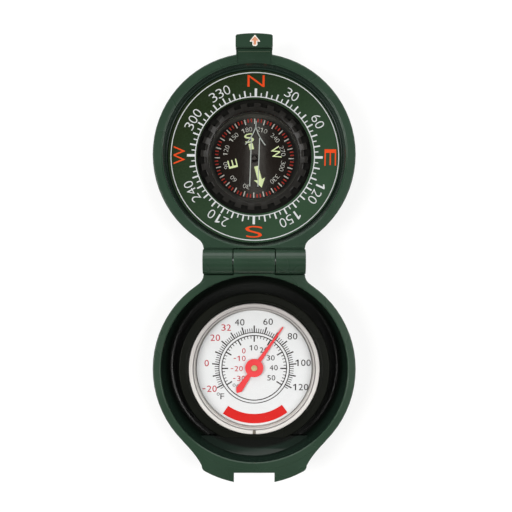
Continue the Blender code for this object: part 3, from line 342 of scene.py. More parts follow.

# Surfaces. From PLASTIC_DRIFT on, each number is how fine a texture is, in waves per metre
BEVEL_SAMPLES = 4
EDGE_FADE = (0.80, 0.995)
INNER_FACE_ROUGHNESS = 0.25
PLASTIC_DRIFT = 90.0
PLASTIC_SPECK = 2600.0
PLASTIC_WEAR = 300.0
PLASTIC_GLOSS = 60.0
PLASTIC_GRAIN = 4200.0
DIAL_SPECK = 1800.0
DIAL_GLOSS = 240.0
DIAL_GRAIN = 5200.0
INK_COVER = 3400.0
INK_DRIFT = 260.0
INK_GLOSS = 900.0
INK_GRAIN = 6000.0
METAL_LINES = 4000.0
METAL_TARNISH = 900.0
LENS_WAVE = 60.0
LENS_DRIFT = 120.0
FLOOR_DRIFT = 6.0

# Surroundings
WHITE = (1.0, 1.0, 1.0, 1.0)
WORLD_STRENGTH = 0.05
FLOOR_HALF_SIZE = 3.0
FLOOR_GAP = 0.00002
FLOOR_GLOW = 0.74
FLOOR_TONES = (0.27, 0.28)

# Soft lights: name, place, target, width, height, brightness and colour
LIGHTS = (
    ("left_softbox", (-0.56, -0.06, 0.72), (0.0, 0.0, 0.0), 0.36, 0.60, 9.0, (1.0, 0.99, 0.97)),
    ("right_softbox", (0.50, -0.06, 0.76), (0.0, 0.0, 0.0), 0.32, 0.60, 8.0, (1.0, 0.99, 0.97)),
    ("back_wall", (0.0, 0.90, 0.32), (0.0, 0.0, 0.0), 1.80, 0.60, 2.3, (1.0, 1.0, 1.0)),
    ("ledge_strip", (0.0, 0.533, 0.682), (0.0, 0.0, 0.0), 0.30, 0.20, 2.0, (1.0, 1.0, 0.97)),
    ("front_fill", (0.0, -0.80, 0.45), (0.0, 0.0, 0.0), 1.20, 0.50, 0.30, (1.0, 0.97, 0.93)),
    ("capsule_strip", (0.0005, 0.064, 0.328), (0.0005, 0.064, 0.0), 0.0120, 0.075, 1.25, (1.0, 0.96, 0.89)),
    ("capsule_back", (0.008, 0.118, 0.328), (0.008, 0.118, 0.0), 0.090, 0.045, 0.26, (1.0, 0.97, 0.91)),
)

# Lights that reach only the pieces seen through the capsule's lens
CAPSULE_LIGHTS = ("capsule_strip", "capsule_back")
SEEN_THROUGH_LENS = ("compass_card", "jewel_cup", "capsule_body")


def linear(red, green, blue):
    """A colour as scene-linear values, from 0 to 255 display values."""
    channels = []
    for value in (red, green, blue):
        share = value / 255
        channels.append(share / 12.92 if share <= 0.04045 else ((share + 0.055) / 1.055) ** 2.4)
    return (*channels, 1.0)


def grey(value):
    """A scene-linear grey, of one value in all three channels."""
    return (value, value, value, 1.0)


class Nodes:
    """A material's node tree, with short calls to add and link nodes.

    What goes into an input is a number, a colour or the output of another node.
    """

    def __init__(self, name):
        self.material = bpy.data.materials.new(name)
        self.material.use_nodes = True
        self.tree = self.material.node_tree
        self.shader = self.tree.nodes["Principled BSDF"]
        self.place = self.add("ShaderNodeTexCoord").outputs["Object"]

    def feed(self, value, node_input):
        if hasattr(value, "is_linked"):
            self.tree.links.new(value, node_input)
        else:
            node_input.default_value = value

    def add(self, kind, inputs=None, **settings):
        """A new node, with what goes into its inputs, by their names or numbers."""
        node = self.tree.nodes.new(kind)
        for key, value in settings.items():
            setattr(node, key, value)
        for key, value in (inputs or {}).items():
            self.feed(value, node.inputs[key])
        return node

    def surface(self, name, value):
        """Feeds one of the shader's inputs."""
        self.feed(value, self.shader.inputs[name])

    def fed(self, name):
        """The output that feeds one of the shader's inputs."""
        return self.shader.inputs[name].links[0].from_socket

    def maths(self, operation, *values):
        return self.add("ShaderNodeMath", dict(enumerate(values)), operation=operation).outputs["Value"]

    def axes(self):
        """X, Y and Z of the place, in the model's rest frame."""
        return self.add("ShaderNodeSeparateXYZ", {"Vector": self.place}).outputs

    def noise(self, scale, detail=3.0, roughness=0.5, stretch=None):
        place = self.place
        if stretch is not None:
            place = self.add("ShaderNodeMapping", {"Scale": stretch, "Vector": place}).outputs["Vector"]
        inputs = {"Scale": scale, "Detail": detail, "Roughness": roughness, "Vector": place}
        return self.add("ShaderNodeTexNoise", inputs).outputs["Fac"]

    def spread(self, value, low, high, from_low=0.3, from_high=0.7):
        """value, taken from its usual range to the range low to high."""
        inputs = {"From Min": from_low, "From Max": from_high, "To Min": low, "To Max": high}
        inputs["Value"] = value
        return self.add("ShaderNodeMapRange", inputs).outputs["Result"]

    def blend(self, share, first, second):
        """A colour between first and second."""
        return self.add("ShaderNodeMix", {0: share, 6: first, 7: second}, data_type="RGBA").outputs[2]

    def height_share(self, low, high):
        """0 below the height low, and 1 above the height high."""
        return self.spread(self.axes()["Z"], 0.0, 1.0, low, high)

    def bump(self, height, distance, strength, normal=None):
        inputs = {"Distance": distance, "Strength": strength, "Height": height}
        if normal is not None:
            inputs["Normal"] = normal
        return self.add("ShaderNodeBump", inputs).outputs["Normal"]

    def rounded_normal(self, radius):
        return self.add("ShaderNodeBevel", {"Radius": radius}, samples=BEVEL_SAMPLES).outputs["Normal"]

    def edge_share(self, radius):
        """0 on flat faces, and up to 1 along sharp edges."""
        geometry = self.add("ShaderNodeNewGeometry")
        normals = {0: self.rounded_normal(radius), 1: geometry.outputs["Normal"]}
        dot = self.add("ShaderNodeVectorMath", normals, operation="DOT_PRODUCT")
        return self.spread(dot.outputs["Value"], 1.0, 0.0, *EDGE_FADE)


def moulded(name, colour, pale, roughness, depth=0.000005, edge=0.00025, edge_pale=None, sheen=0.5):
    """Moulded plastic: a fine grain, slow drifts of colour and gloss, and paler edges, partly polished by use and
    partly a painted highlight.
    """
    nodes = Nodes(name)
    pale = linear(*pale)
    wear_and_highlight = linear(*edge_pale) if edge_pale is not None else pale
    drift = nodes.spread(nodes.noise(PLASTIC_DRIFT, 4.0), 0.0, 1.0)
    speck = nodes.spread(nodes.noise(PLASTIC_SPECK, 2.0, 0.6), 0.0, 0.10, 0.55, 0.75)
    body = nodes.blend(speck, nodes.blend(drift, linear(*colour), pale), pale)
    # Paler edges: partly wear from use, partly a painted highlight along their rounding
    edge_patches = nodes.spread(nodes.noise(PLASTIC_WEAR), 0.35, 0.65)
    share = nodes.maths("MULTIPLY", nodes.edge_share(edge), edge_patches)
    nodes.surface("Base Color", nodes.blend(share, body, wear_and_highlight))
    gloss = nodes.spread(nodes.noise(PLASTIC_GLOSS, 2.0), roughness - 0.02, roughness + 0.03)
    nodes.surface("Roughness", gloss)
    nodes.surface("Specular IOR Level", sheen)
    grain = nodes.noise(PLASTIC_GRAIN, 2.0)
    nodes.surface("Normal", nodes.bump(grain, depth, 0.35, nodes.rounded_normal(edge)))
    return nodes


def make_case_green():
    """The case's green, glossier on the moulded faces inside the two bowls, and darker there with painted shade:
    most towards the hinge, low on the walls and round the holder.
    """
    nodes = moulded("case_green", CASE_GREEN, CASE_PALE, 0.26, edge_pale=CASE_EDGE_HIGHLIGHT, sheen=0.4)
    axes = nodes.axes()
    side = nodes.maths("ABSOLUTE", nodes.maths("SUBTRACT", axes["Y"], HINGE_Y))
    along = nodes.maths("SUBTRACT", side, HALF_SPACING)
    flat = nodes.add("ShaderNodeCombineXYZ", {"X": axes["X"], "Y": along}).outputs["Vector"]
    radius = nodes.add("ShaderNodeVectorMath", {0: flat}, operation="LENGTH").outputs["Value"]
    within = nodes.spread(radius, 1.0, 0.0, *BOWL_FADE)
    below = nodes.spread(axes["Z"], 1.0, 0.0, *RIM_FADE)
    inside = nodes.maths("MULTIPLY", within, below)
    bowl_inside = nodes.maths("MULTIPLY", inside, nodes.height_share(*FLOOR_FADE))

    # Painted shade: the bowls' inside is darker, most towards the hinge, low on the walls and round the holder
    dark = linear(*BOWL_SHADE_DARK)
    drift = nodes.spread(nodes.noise(PLASTIC_WEAR), 0.0, 1.0)
    dim = nodes.blend(drift, linear(*BOWL_SHADE_GREEN), linear(*BOWL_SHADE_PALE))
    dim = nodes.blend(nodes.spread(along, 1.0, 0.0, *HINGE_FADE), dim, linear(*BOWL_SHADE_AT_HINGE))
    dim = nodes.blend(nodes.height_share(*WALL_FADE), dark, dim)
    dim = nodes.blend(nodes.spread(radius, 0.0, 1.0, *LEDGE_FADE), dark, dim)
    nodes.surface("Base Color", nodes.blend(bowl_inside, nodes.fed("Base Color"), dim))
    nodes.surface("Roughness", nodes.blend(bowl_inside, nodes.fed("Roughness"), grey(INNER_FACE_ROUGHNESS)))
    return nodes.material


def make_dial_green():
    """The dial's green print, darker and olive towards the upper left, lighter and bluer towards the lower right.
    """
    nodes = Nodes("dial_green")
    axes = nodes.axes()
    slope = nodes.maths("SUBTRACT", axes["X"], axes["Y"])
    share = nodes.spread(slope, 0.0, 1.0, -COMPASS_Y - DIAL_TINT_REACH, -COMPASS_Y + DIAL_TINT_REACH)
    body = nodes.blend(share, linear(*DIAL_OLIVE), linear(*DIAL_BLUE_GREEN))
    speck = nodes.spread(nodes.noise(DIAL_SPECK), 0.0, 0.2)
    nodes.surface("Base Color", nodes.blend(speck, body, linear(*DIAL_PALE)))
    nodes.surface("Roughness", nodes.spread(nodes.noise(DIAL_GLOSS, 4.0), 0.30, 0.38))
    nodes.surface("Specular IOR Level", PRINT_SHEEN)
    grain = nodes.noise(DIAL_GRAIN)
    nodes.surface("Normal", nodes.bump(grain, 0.00001, 0.4, nodes.rounded_normal(0.00015)))
    return nodes.material


def make_ring_black():
    """The ring's black, with painted shade making it darker in the slots and in the gap round it."""
    nodes = moulded("ring_black", RING_BLACK, RING_PALE, 0.23, edge=0.00008, sheen=0.15)
    # Painted shade: darker below the flange's top, in the slots and the gap round the ring
    share = nodes.height_share(*SLOT_SHADE_FADE)
    nodes.surface("Base Color", nodes.blend(share, linear(*PAINTED_SLOT_SHADE), nodes.fed("Base Color")))
    return nodes.material


def make_case_white():
    """The snap ring's white, with painted shade making it a little greyer towards the hinge."""
    nodes = moulded("case_white", BEZEL_WHITE, BEZEL_PALE, 0.34, edge=0.0001, sheen=0.3)
    # Painted shade: the band greys towards the hinge
    share = nodes.spread(nodes.axes()["Y"], 0.0, 1.0, *BEZEL_SHADE_FADE)
    shade_grey_white = linear(*BEZEL_SHADE_AT_HINGE)
    nodes.surface("Base Color", nodes.blend(share, nodes.fed("Base Color"), shade_grey_white))
    return nodes.material


def make_clear_lens():
    """Clear acrylic: what is behind it shows, and its outer faces mirror the lights a little."""
    nodes = Nodes("clear_lens")
    clear = nodes.add("ShaderNodeBsdfTransparent", {"Color": LENS_TINT})
    normal = nodes.bump(nodes.noise(LENS_WAVE, 1.0), 0.00002, 0.1)
    haze = nodes.spread(nodes.noise(LENS_DRIFT), LENS_HAZE, LENS_HAZE + 0.03)
    mirror = nodes.add("ShaderNodeBsdfGlossy", {"Color": WHITE, "Roughness": haze, "Normal": normal})
    fresnel = nodes.add("ShaderNodeFresnel", {"IOR": LENS_INDEX, "Normal": normal})
    geometry = nodes.add("ShaderNodeNewGeometry")
    outer = nodes.maths("SUBTRACT", 1.0, geometry.outputs["Backfacing"])
    share = nodes.maths("MULTIPLY", fresnel.outputs["Fac"], outer)
    layers = {"Fac": share, 1: clear.outputs["BSDF"], 2: mirror.outputs["BSDF"]}
    mix = nodes.add("ShaderNodeMixShader", layers)
    nodes.feed(mix.outputs["Shader"], nodes.tree.nodes["Material Output"].inputs["Surface"])
    nodes.tree.nodes.remove(nodes.shader)
    return nodes.material


def make_print(name, colour, faded, roughness=0.5):
    """Printed ink: slightly uneven in cover and gloss."""
    nodes = Nodes(name)
    faded = linear(*faded)
    cover = nodes.spread(nodes.noise(INK_COVER, 4.0, 0.65), 0.0, 0.5, 0.35, 0.75)
    slow = nodes.spread(nodes.noise(INK_DRIFT, 2.0), 0.0, 0.35)
    body = nodes.blend(cover, linear(*colour), faded)
    nodes.surface("Base Color", nodes.blend(slow, body, faded))
    gloss = nodes.spread(nodes.noise(INK_GLOSS), roughness - 0.08, roughness + 0.08)
    nodes.surface("Roughness", gloss)
    nodes.surface("Specular IOR Level", PRINT_SHEEN)
    nodes.surface("Normal", nodes.bump(nodes.noise(INK_GRAIN, 2.0), 0.000006, 0.4))
    return nodes.material


def make_metal(name, colour, dull, roughness, stretch=(1.0, 1.0, 1.0)):
    """Turned or drawn metal with fine tool lines and a slight tarnish."""
    nodes = Nodes(name)
    lines = nodes.noise(METAL_LINES, 3.0, 0.6, stretch)
    tarnish = nodes.spread(nodes.noise(METAL_TARNISH, 4.0), 0.0, 0.7)
    nodes.surface("Base Color", nodes.blend(tarnish, linear(*colour), linear(*dull)))
    nodes.surface("Metallic", 1.0)
    nodes.surface("Roughness", nodes.spread(lines, roughness - 0.07, roughness + 0.10))
    nodes.surface("Normal", nodes.bump(lines, 0.00001, 0.3, nodes.rounded_normal(0.0001)))
    return nodes.material


# Plastics: colour, pale colour, roughness, and what departs from the usual
PLASTICS = {
    # The capsule body's grey is partly its own colour and partly a painted reflection
    "capsule_reflection_grey": ((58, 57, 51), (68, 67, 60), 0.35, {"sheen": 0.4}),
    "holder_black": ((15, 17, 13), (20, 22, 17), 0.25, {"edge": 0.0002, "sheen": 0.15}),
    "rubber_black": ((24, 24, 24), (36, 36, 35), 0.7, {}),
    "card_black": ((19, 13, 9), (23, 16, 11), 0.07, {"depth": 0.000001}),
    "pointer_red": ((218, 48, 54), (226, 68, 72), 0.38, {"edge": 0.00008, "sheen": 0.2}),
    "groove_shade_grey": ((128, 124, 124), (146, 142, 142), 0.5, {}),
    "key_brown": ((96, 90, 80), (112, 105, 94), 0.5, {}),
    # Paler green of the latch's ridge: a painted highlight
    "ridge_highlight_green": ((66, 84, 66), (84, 100, 80), 0.35, {}),
}

# Metals: colour, tarnished colour, roughness, and the stretch of the tool lines
METALS = {
    "magnet_grey": ((90, 90, 94), (60, 60, 62), 0.45),
    "brass": ((240, 224, 172), (206, 182, 120), 0.34),
    "steel": ((196, 197, 200), (150, 150, 150), 0.28, (1.0, 12.0, 12.0)),
    "bimetal": ((190, 178, 160), (150, 130, 104), 0.35, (1.0, 1.0, 30.0)),
}

# Inks: colour, faded colour, and roughness
INKS = {
    "scale_white": ((221, 222, 224), (216, 217, 219), 0.45),
    "print_white": ((204, 206, 208), (182, 186, 186)),
    "print_card": ((188, 188, 182), (160, 160, 154)),
    "print_lens": ((158, 164, 160), (138, 144, 140)),
    "print_orange": ((218, 72, 26), (204, 62, 20)),
    "print_red": ((186, 42, 58), (172, 36, 48)),
    "print_banner": ((202, 28, 26), (208, 40, 36)),
    "print_black": ((42, 36, 36), (62, 56, 56)),
    "print_card_red": ((166, 44, 32), (140, 38, 28)),
    "luminous": ((208, 220, 170), (192, 206, 152), 0.6),
    "print_emblem": ((232, 230, 224), (214, 208, 198)),
    "emblem_orange": ((196, 116, 76), (206, 170, 146)),
}

MATERIALS = {
    "case_green": make_case_green(),
    "dial_green": make_dial_green(),
    "ring_black": make_ring_black(),
    "case_white": make_case_white(),
    "clear_lens": make_clear_lens(),
}
for name, (colour, pale, roughness, others) in PLASTICS.items():
    MATERIALS[name] = moulded(name, colour, pale, roughness, **others).material
for name, row in METALS.items():
    MATERIALS[name] = make_metal(name, *row)
for name, row in INKS.items():
    MATERIALS[name] = make_print(name, *row)

# CAD nodes with a finish other than their slot's
# The capsule's body is paler grey: partly a painted reflection
OWN_FINISH = {"capsule_body": "capsule_reflection_grey"}


def new_mesh_object(name, shape, material):
    mesh = bpy.data.meshes.new(name)
    shape.to_mesh(mesh)
    shape.free()
    mesh.materials.append(MATERIALS[material])
    obj = bpy.data.objects.new(name, mesh)
    bpy.context.scene.collection.objects.link(obj)
    return obj


def finished(obj, body):
    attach(obj, body)
    return obj


def shade(obj):
    obj.data.shade_smooth()
    obj.data.set_sharp_from_angle(angle=radians(SHARP_ANGLE_DEG))


def polar(radius, angle_deg):
    """The point at a radius, at an angle clockwise from the top."""
    angle = radians(angle_deg)
    return (radius * sin(angle), radius * cos(angle))


def skin(shape, rows, whole=True):
    """Faces between closed rows of corners, and if whole, from the last row back to the first."""
    for i in range(len(rows) if whole else len(rows) - 1):
        row = rows[i]
        after = rows[(i + 1) % len(rows)]
        for j in range(len(row)):
            beyond = (j + 1) % len(row)
            shape.faces.new((row[j], row[beyond], after[beyond], after[j]))


def one(height, width):
    """The outline of a figure one without serifs: an upright with a short flag."""
    half = height / 2
    stem = height * ONE_STEM
    flag = width * ONE_FLAG
    return [
        (stem / 2, -half),
        (stem / 2, half),
        (-stem * ONE_NECK, half),
        (-flag, half - height * ONE_FLAG_TIP),
        (-flag, half - height * ONE_FLAG_END),
        (-stem / 2, half - height * ONE_FLAG_ROOT),
        (-stem / 2, -half),
    ]


def minus(height, width):
    half = width * MINUS_HALF_LENGTH
    thick = height * MINUS_HALF_THICKNESS
    return [(-half, -thick), (half, -thick), (half, thick), (-half, thick)]


DRAWN_CHARACTERS = {"1": one, "-": minus}
CHARACTERS = {}


def character_mesh(text, weight):
    """A character as a flat solid of height 1, made once for each character and weight."""
    key = (text, weight)
    if key in CHARACTERS:
        return CHARACTERS[key]
    curve = bpy.data.curves.new("character", "FONT")
    curve.body = text
    curve.size = 1.0
    curve.offset = weight
    curve.extrude = 0.5
    curve.resolution_u = CHARACTER_STEPS
    obj = bpy.data.objects.new("character", curve)
    bpy.context.scene.collection.objects.link(obj)
    bpy.context.view_layer.update()
    evaluated = obj.evaluated_get(bpy.context.evaluated_depsgraph_get())
    mesh = bpy.data.meshes.new_from_object(evaluated)
    bpy.data.objects.remove(obj, do_unlink=True)
    mesh.transform(Matrix.Translation((0.0, 0.0, 0.5)))
    mesh.materials.clear()
    CHARACTERS[key] = mesh
    return mesh


class FlatPrint:
    """Flat printed shapes of one colour, gathered in one thin piece.

    Shapes are drawn about the centre given, in the plane, and stand on the height given.
    """

    def __init__(self, centre_y, height, turn_deg=0.0, centre_x=0.0):
        self.shape = bmesh.new()
        self.place = Matrix.Translation((centre_x, centre_y, height + PRINT_GAP))
        self.place @= Matrix.Rotation(radians(turn_deg), 4, "Z")

    def corners(self, points, height):
        return [self.shape.verts.new((x, y, height)) for x, y in points]

    def outline(self, points):
        """One filled outline, given anticlockwise."""
        low = self.corners(points, 0.0)
        high = self.corners(points, PRINT_THICKNESS)
        self.shape.faces.new(high)
        self.shape.faces.new(list(reversed(low)))
        skin(self.shape, (low, high), whole=False)

    def circle(self, radius, width):
        """A line of that width on a circle."""
        inner = radius - width / 2
        outer = radius + width / 2
        top = PRINT_THICKNESS
        rows = []
        for reach, height in ((inner, 0.0), (outer, 0.0), (outer, top), (inner, top)):
            points = [polar(reach, -360.0 * i / CIRCLE_STEPS) for i in range(CIRCLE_STEPS)]
            rows.append(self.corners(points, height))
        skin(self.shape, rows)

    def sector(self, inner, outer, start_deg, end_deg):
        """A part of a ring between two radii, clockwise from one angle to another."""
        turn = end_deg - start_deg
        count = int(CIRCLE_STEPS * turn / 360.0)
        angles = [start_deg + turn * i / count for i in range(count + 1)]
        near = [polar(inner, angle) for angle in angles]
        far = [polar(outer, angle) for angle in angles]
        self.outline(near + list(reversed(far)))

    def tick(self, angle_deg, inner, outer, width):
        """A bar from one radius to another, at an angle clockwise from the top."""
        self.stroke([polar(inner, angle_deg), polar(outer, angle_deg)], width)

    def stroke(self, points, width):
        """A line of constant width along a few points."""
        left, right = [], []
        for i, (x, y) in enumerate(points):
            before = points[max(i - 1, 0)]
            after = points[min(i + 1, len(points) - 1)]
            dx, dy = after[0] - before[0], after[1] - before[1]
            length = sqrt(dx * dx + dy * dy)
            side_x, side_y = -dy / length * width / 2, dx / length * width / 2
            left.append((x + side_x, y + side_y))
            right.append((x - side_x, y - side_y))
        self.outline(right + list(reversed(left)))

    def character(self, text, x, y, height, width, weight, turn_deg=0.0):
        """One character, stretched to that height and width about x, y and turned clockwise."""
        place = Matrix.Translation((x, y, 0.0)) @ Matrix.Rotation(radians(-turn_deg), 4, "Z")
        if text in DRAWN_CHARACTERS:
            points = [place @ Vector((*point, 0.0)) for point in DRAWN_CHARACTERS[text](height, width)]
            self.outline([(point.x, point.y) for point in points])
            return
        mesh = character_mesh(text, weight)
        low = Vector((min(v.co.x for v in mesh.vertices), min(v.co.y for v in mesh.vertices), 0.0))
        high = Vector((max(v.co.x for v in mesh.vertices), max(v.co.y for v in mesh.vertices), 1.0))
        size = high - low
        fit = Matrix.Diagonal((width / size.x, height / size.y, PRINT_THICKNESS, 1.0))
        centred = Matrix.Translation((-(low.x + high.x) / 2, -(low.y + high.y) / 2, 0.0))
        copy = mesh.copy()
        copy.transform(place @ fit @ centred)
        self.shape.from_mesh(copy)
        bpy.data.meshes.remove(copy)

    def arc_text(self, text, angle_deg, radius, height, width, step_deg, weight):
        """Characters side by side on a circle, their tops outward."""
        for i, character in enumerate(text):
            turn = angle_deg + step_deg * (i - (len(text) - 1) / 2)
            x, y = polar(radius, turn)
            self.character(character, x, y, height, width, weight, turn)

    def level_text(self, text, x, y, height, width, advance, weight):
        """Characters side by side on a level line, about x, y."""
        for i, character in enumerate(text):
            offset = advance * (i - (len(text) - 1) / 2)
            self.character(character, x + offset, y, height, width, weight)

    def piece(self, name, material, body):
        bmesh.ops.remove_doubles(self.shape, verts=self.shape.verts, dist=WELD_DISTANCE)
        bmesh.ops.recalc_face_normals(self.shape, faces=self.shape.faces)
        self.shape.transform(self.place)
        return finished(new_mesh_object(name, self.shape, material), body)


def turned_row(shape, profile, angle, centre_y):
    """Corners for a profile of (radius, height) points, at an angle round Z."""
    places = [(radius * cos(angle), centre_y + radius * sin(angle), height) for radius, height in profile]
    return [shape.verts.new(place) for place in places]


def turned(name, profile, material, centre_y):
    """A closed profile of (radius, height) points, turned about Z."""
    shape = bmesh.new()
    angles = [2 * pi * i / CIRCLE_STEPS for i in range(CIRCLE_STEPS)]
    skin(shape, [turned_row(shape, profile, angle, centre_y) for angle in angles])
    bmesh.ops.remove_doubles(shape, verts=shape.verts, dist=WELD_DISTANCE)
    bmesh.ops.dissolve_degenerate(shape, edges=shape.edges, dist=LEAST_EDGE)
    bmesh.ops.recalc_face_normals(shape, faces=shape.faces)
    obj = new_mesh_object(name, shape, material)
    shade(obj)
    return obj


def rounded_box(name, size, middle, rounding, material):
    shape = bmesh.new()
    place = Matrix.Translation(middle) @ Matrix.Diagonal((*size, 1.0))
    bmesh.ops.create_cube(shape, size=1.0, matrix=place)
    bmesh.ops.bevel(shape, geom=shape.edges, offset=rounding, segments=BOX_ROUND_STEPS, affect="EDGES")
    return new_mesh_object(name, shape, material)


def arc(centre_r, centre_z, radius, start_deg, end_deg, count):
    """Profile points on an arc, its angles counted anticlockwise from straight outward."""
    points = []
    for i in range(count):
        angle = radians(start_deg + (end_deg - start_deg) * i / (count - 1))
        points.append((centre_r + radius * cos(angle), centre_z + radius * sin(angle)))
    return points


def dress_cad_nodes():
    """Gives every CAD node its finish, and shades its curved faces smooth."""
    finish_of = {row["node"]: row["material_slot"] for row in frame["record"]["subparts"]}
    for name, obj in NODES.items():
        obj.data.materials.clear()
        obj.data.materials.append(MATERIALS[OWN_FINISH.get(name, finish_of[name])])
        if "custom_normal" in obj.data.attributes:
            obj.data.attributes.remove(obj.data.attributes["custom_normal"])
        obj.data.shade_smooth()
        weld = obj.modifiers.new("Weld", "WELD")
        weld.merge_threshold = CAD_WELD_DISTANCE
        split = obj.modifiers.new("Split", "EDGE_SPLIT")
        split.split_angle = radians(SHARP_ANGLE_DEG)


def print_compass_dial():
    place = (COMPASS_Y, top_of("dial_plate"), DIAL_TURN_DEG, DIAL_SHIFT)
    line = FlatPrint(*place)
    line.circle(*DIAL_OUTER_LINE)
    line.piece("dial_outer_line", "print_white", "lid")

    scale = FlatPrint(*place)
    line_radius, line_width = DIAL_INNER_LINE
    scale.circle(line_radius, line_width)
    for angle in range(0, 360, min(DIAL_TICKS)):
        kind = next(step for step in DIAL_TICKS if angle % step == 0)
        outer, width = DIAL_TICKS[kind]
        scale.tick(angle, line_radius + line_width / 2, outer, width)
    scale.piece("dial_scale", "print_white", "lid")

    numerals = FlatPrint(*place)
    for text in DIAL_NUMERALS:
        numerals.arc_text(
            text,
            float(text),
            DIAL_NUMERAL_RADIUS,
            DIAL_NUMERAL_HEIGHT,
            DIAL_NUMERAL_WIDTH,
            DIAL_NUMERAL_STEP_DEG,
            DIAL_NUMERAL_WEIGHT,
        )
    numerals.piece("dial_numerals", "print_white", "lid")

    letters = FlatPrint(*place)
    for angle, text in zip((0, 90, 180, 270), "NESW"):
        x, y = polar(DIAL_LETTER_RADIUS, angle)
        width = DIAL_LETTER_WIDTHS[text]
        letters.character(text, x, y, DIAL_LETTER_HEIGHT, width, DIAL_LETTER_WEIGHT, angle)
    letters.piece("dial_letters", "print_orange", "lid")


def print_card():
    place = (COMPASS_Y, top_of("compass_card"), CARD_NORTH_DEG)
    white = FlatPrint(*place)
    red = FlatPrint(*place)
    for angle in range(0, 360, CARD_TICK_STEP_DEG):
        is_long = angle % CARD_LONG_STEP_DEG == 0
        length, width = CARD_LONG_TICK if is_long else CARD_SHORT_TICK
        ink = white if is_long else red
        ink.tick(angle, CARD_TICK_OUTER - length, CARD_TICK_OUTER, width)
    for angle in range(CARD_NUMERAL_EVERY_DEG, 360, CARD_NUMERAL_EVERY_DEG):
        white.arc_text(
            str(angle),
            angle,
            CARD_NUMERAL_RADIUS,
            CARD_NUMERAL_HEIGHT,
            CARD_NUMERAL_WIDTH,
            CARD_NUMERAL_STEP_DEG,
            CARD_NUMERAL_WEIGHT,
        )
    white.piece("card_scale", "print_card", "card")
    red.piece("card_red_marks", "print_card_red", "card")

    glow = FlatPrint(*place)
    for text, (angle, radius, width) in CARD_LETTERS.items():
        x, y = polar(radius, angle)
        glow.character(text, x, y, CARD_LETTER_HEIGHT, width, CARD_LETTER_WEIGHT, angle)
    shaft = CARD_ARROW_HALF_WIDTHS["shaft"]
    barb = CARD_ARROW_HALF_WIDTHS["barb"]
    half = [(shaft, CARD_ARROW["start"]), (shaft, CARD_ARROW["base"]), (barb, CARD_ARROW["barb"])]
    glow.outline(half + [(0.0, CARD_ARROW["tip"])] + [(-x, y) for x, y in reversed(half)])
    bar = CARD_BAR["half_width"]
    low, high = CARD_BAR["end"], CARD_BAR["start"]
    glow.outline([(-bar, low), (bar, low), (bar, high), (-bar, high)])
    glow.piece("card_luminous_marks", "luminous", "card")


def print_lens_lines():
    """The orienting arrow on the capsule's lens: a fork at the head and two long shafts."""
    lines = FlatPrint(COMPASS_Y, top_of("capsule_lens"), RING_TURN_DEG)
    middle = LENS_ARROW_SHIFT
    lines.stroke([(middle, LENS_ARROW_FORK), (middle, LENS_ARROW_TIP)], LENS_LINE_WIDTH)
    barb_x, barb_y = LENS_ARROW_BARB
    bow_x = LENS_ARROW_BOW[0] * barb_x
    bow_y = LENS_ARROW_FORK - LENS_ARROW_BOW[1] * (LENS_ARROW_FORK - barb_y)
    for side in (-1, 1):
        points = []
        for i in range(LENS_ARROW_POINTS):
            t = i / (LENS_ARROW_POINTS - 1)
            x = 2 * t * (1 - t) * bow_x + t * t * barb_x
            y = (1 - t) ** 2 * LENS_ARROW_FORK + 2 * t * (1 - t) * bow_y + t * t * barb_y
            points.append((middle + side * x, y))
        lines.stroke(points, LENS_LINE_WIDTH)
        x = middle + side * LENS_SHAFT_HALF_GAP
        lines.stroke([(x, LENS_SHAFT_TOP), (x, LENS_SHAFT_END)], LENS_LINE_WIDTH)
    lines.piece("lens_arrow_lines", "print_lens", "capsule")


def print_scale_lines(height):
    """The two circles of the thermometer's scales, with degrees F outside and C inside."""
    lines = FlatPrint(THERMOMETER_Y, height)
    for radius, width in (SCALE_OUTER_CIRCLE, SCALE_INNER_CIRCLE):
        lines.circle(radius, width)
    outer_start = SCALE_OUTER_CIRCLE[0] + SCALE_OUTER_CIRCLE[1] / 2
    for value in SCALE_F_TICKS:
        reach, width = SCALE_F_MAJOR if value % SCALE_MAJOR_STEP == 0 else SCALE_F_MINOR
        lines.tick((value - SCALE_CENTRE_F) * SCALE_DEG_PER_F, outer_start, reach, width)
    inner_start = SCALE_INNER_CIRCLE[0] - SCALE_INNER_CIRCLE[1] / 2
    for value in SCALE_C_TICKS:
        reach, width = SCALE_C_MAJOR if value % SCALE_MAJOR_STEP == 0 else SCALE_C_MINOR
        lines.tick((value - SCALE_CENTRE_C) * SCALE_DEG_PER_C, reach, inner_start, width)
    lines.piece("scale_lines", "print_black", "cup")


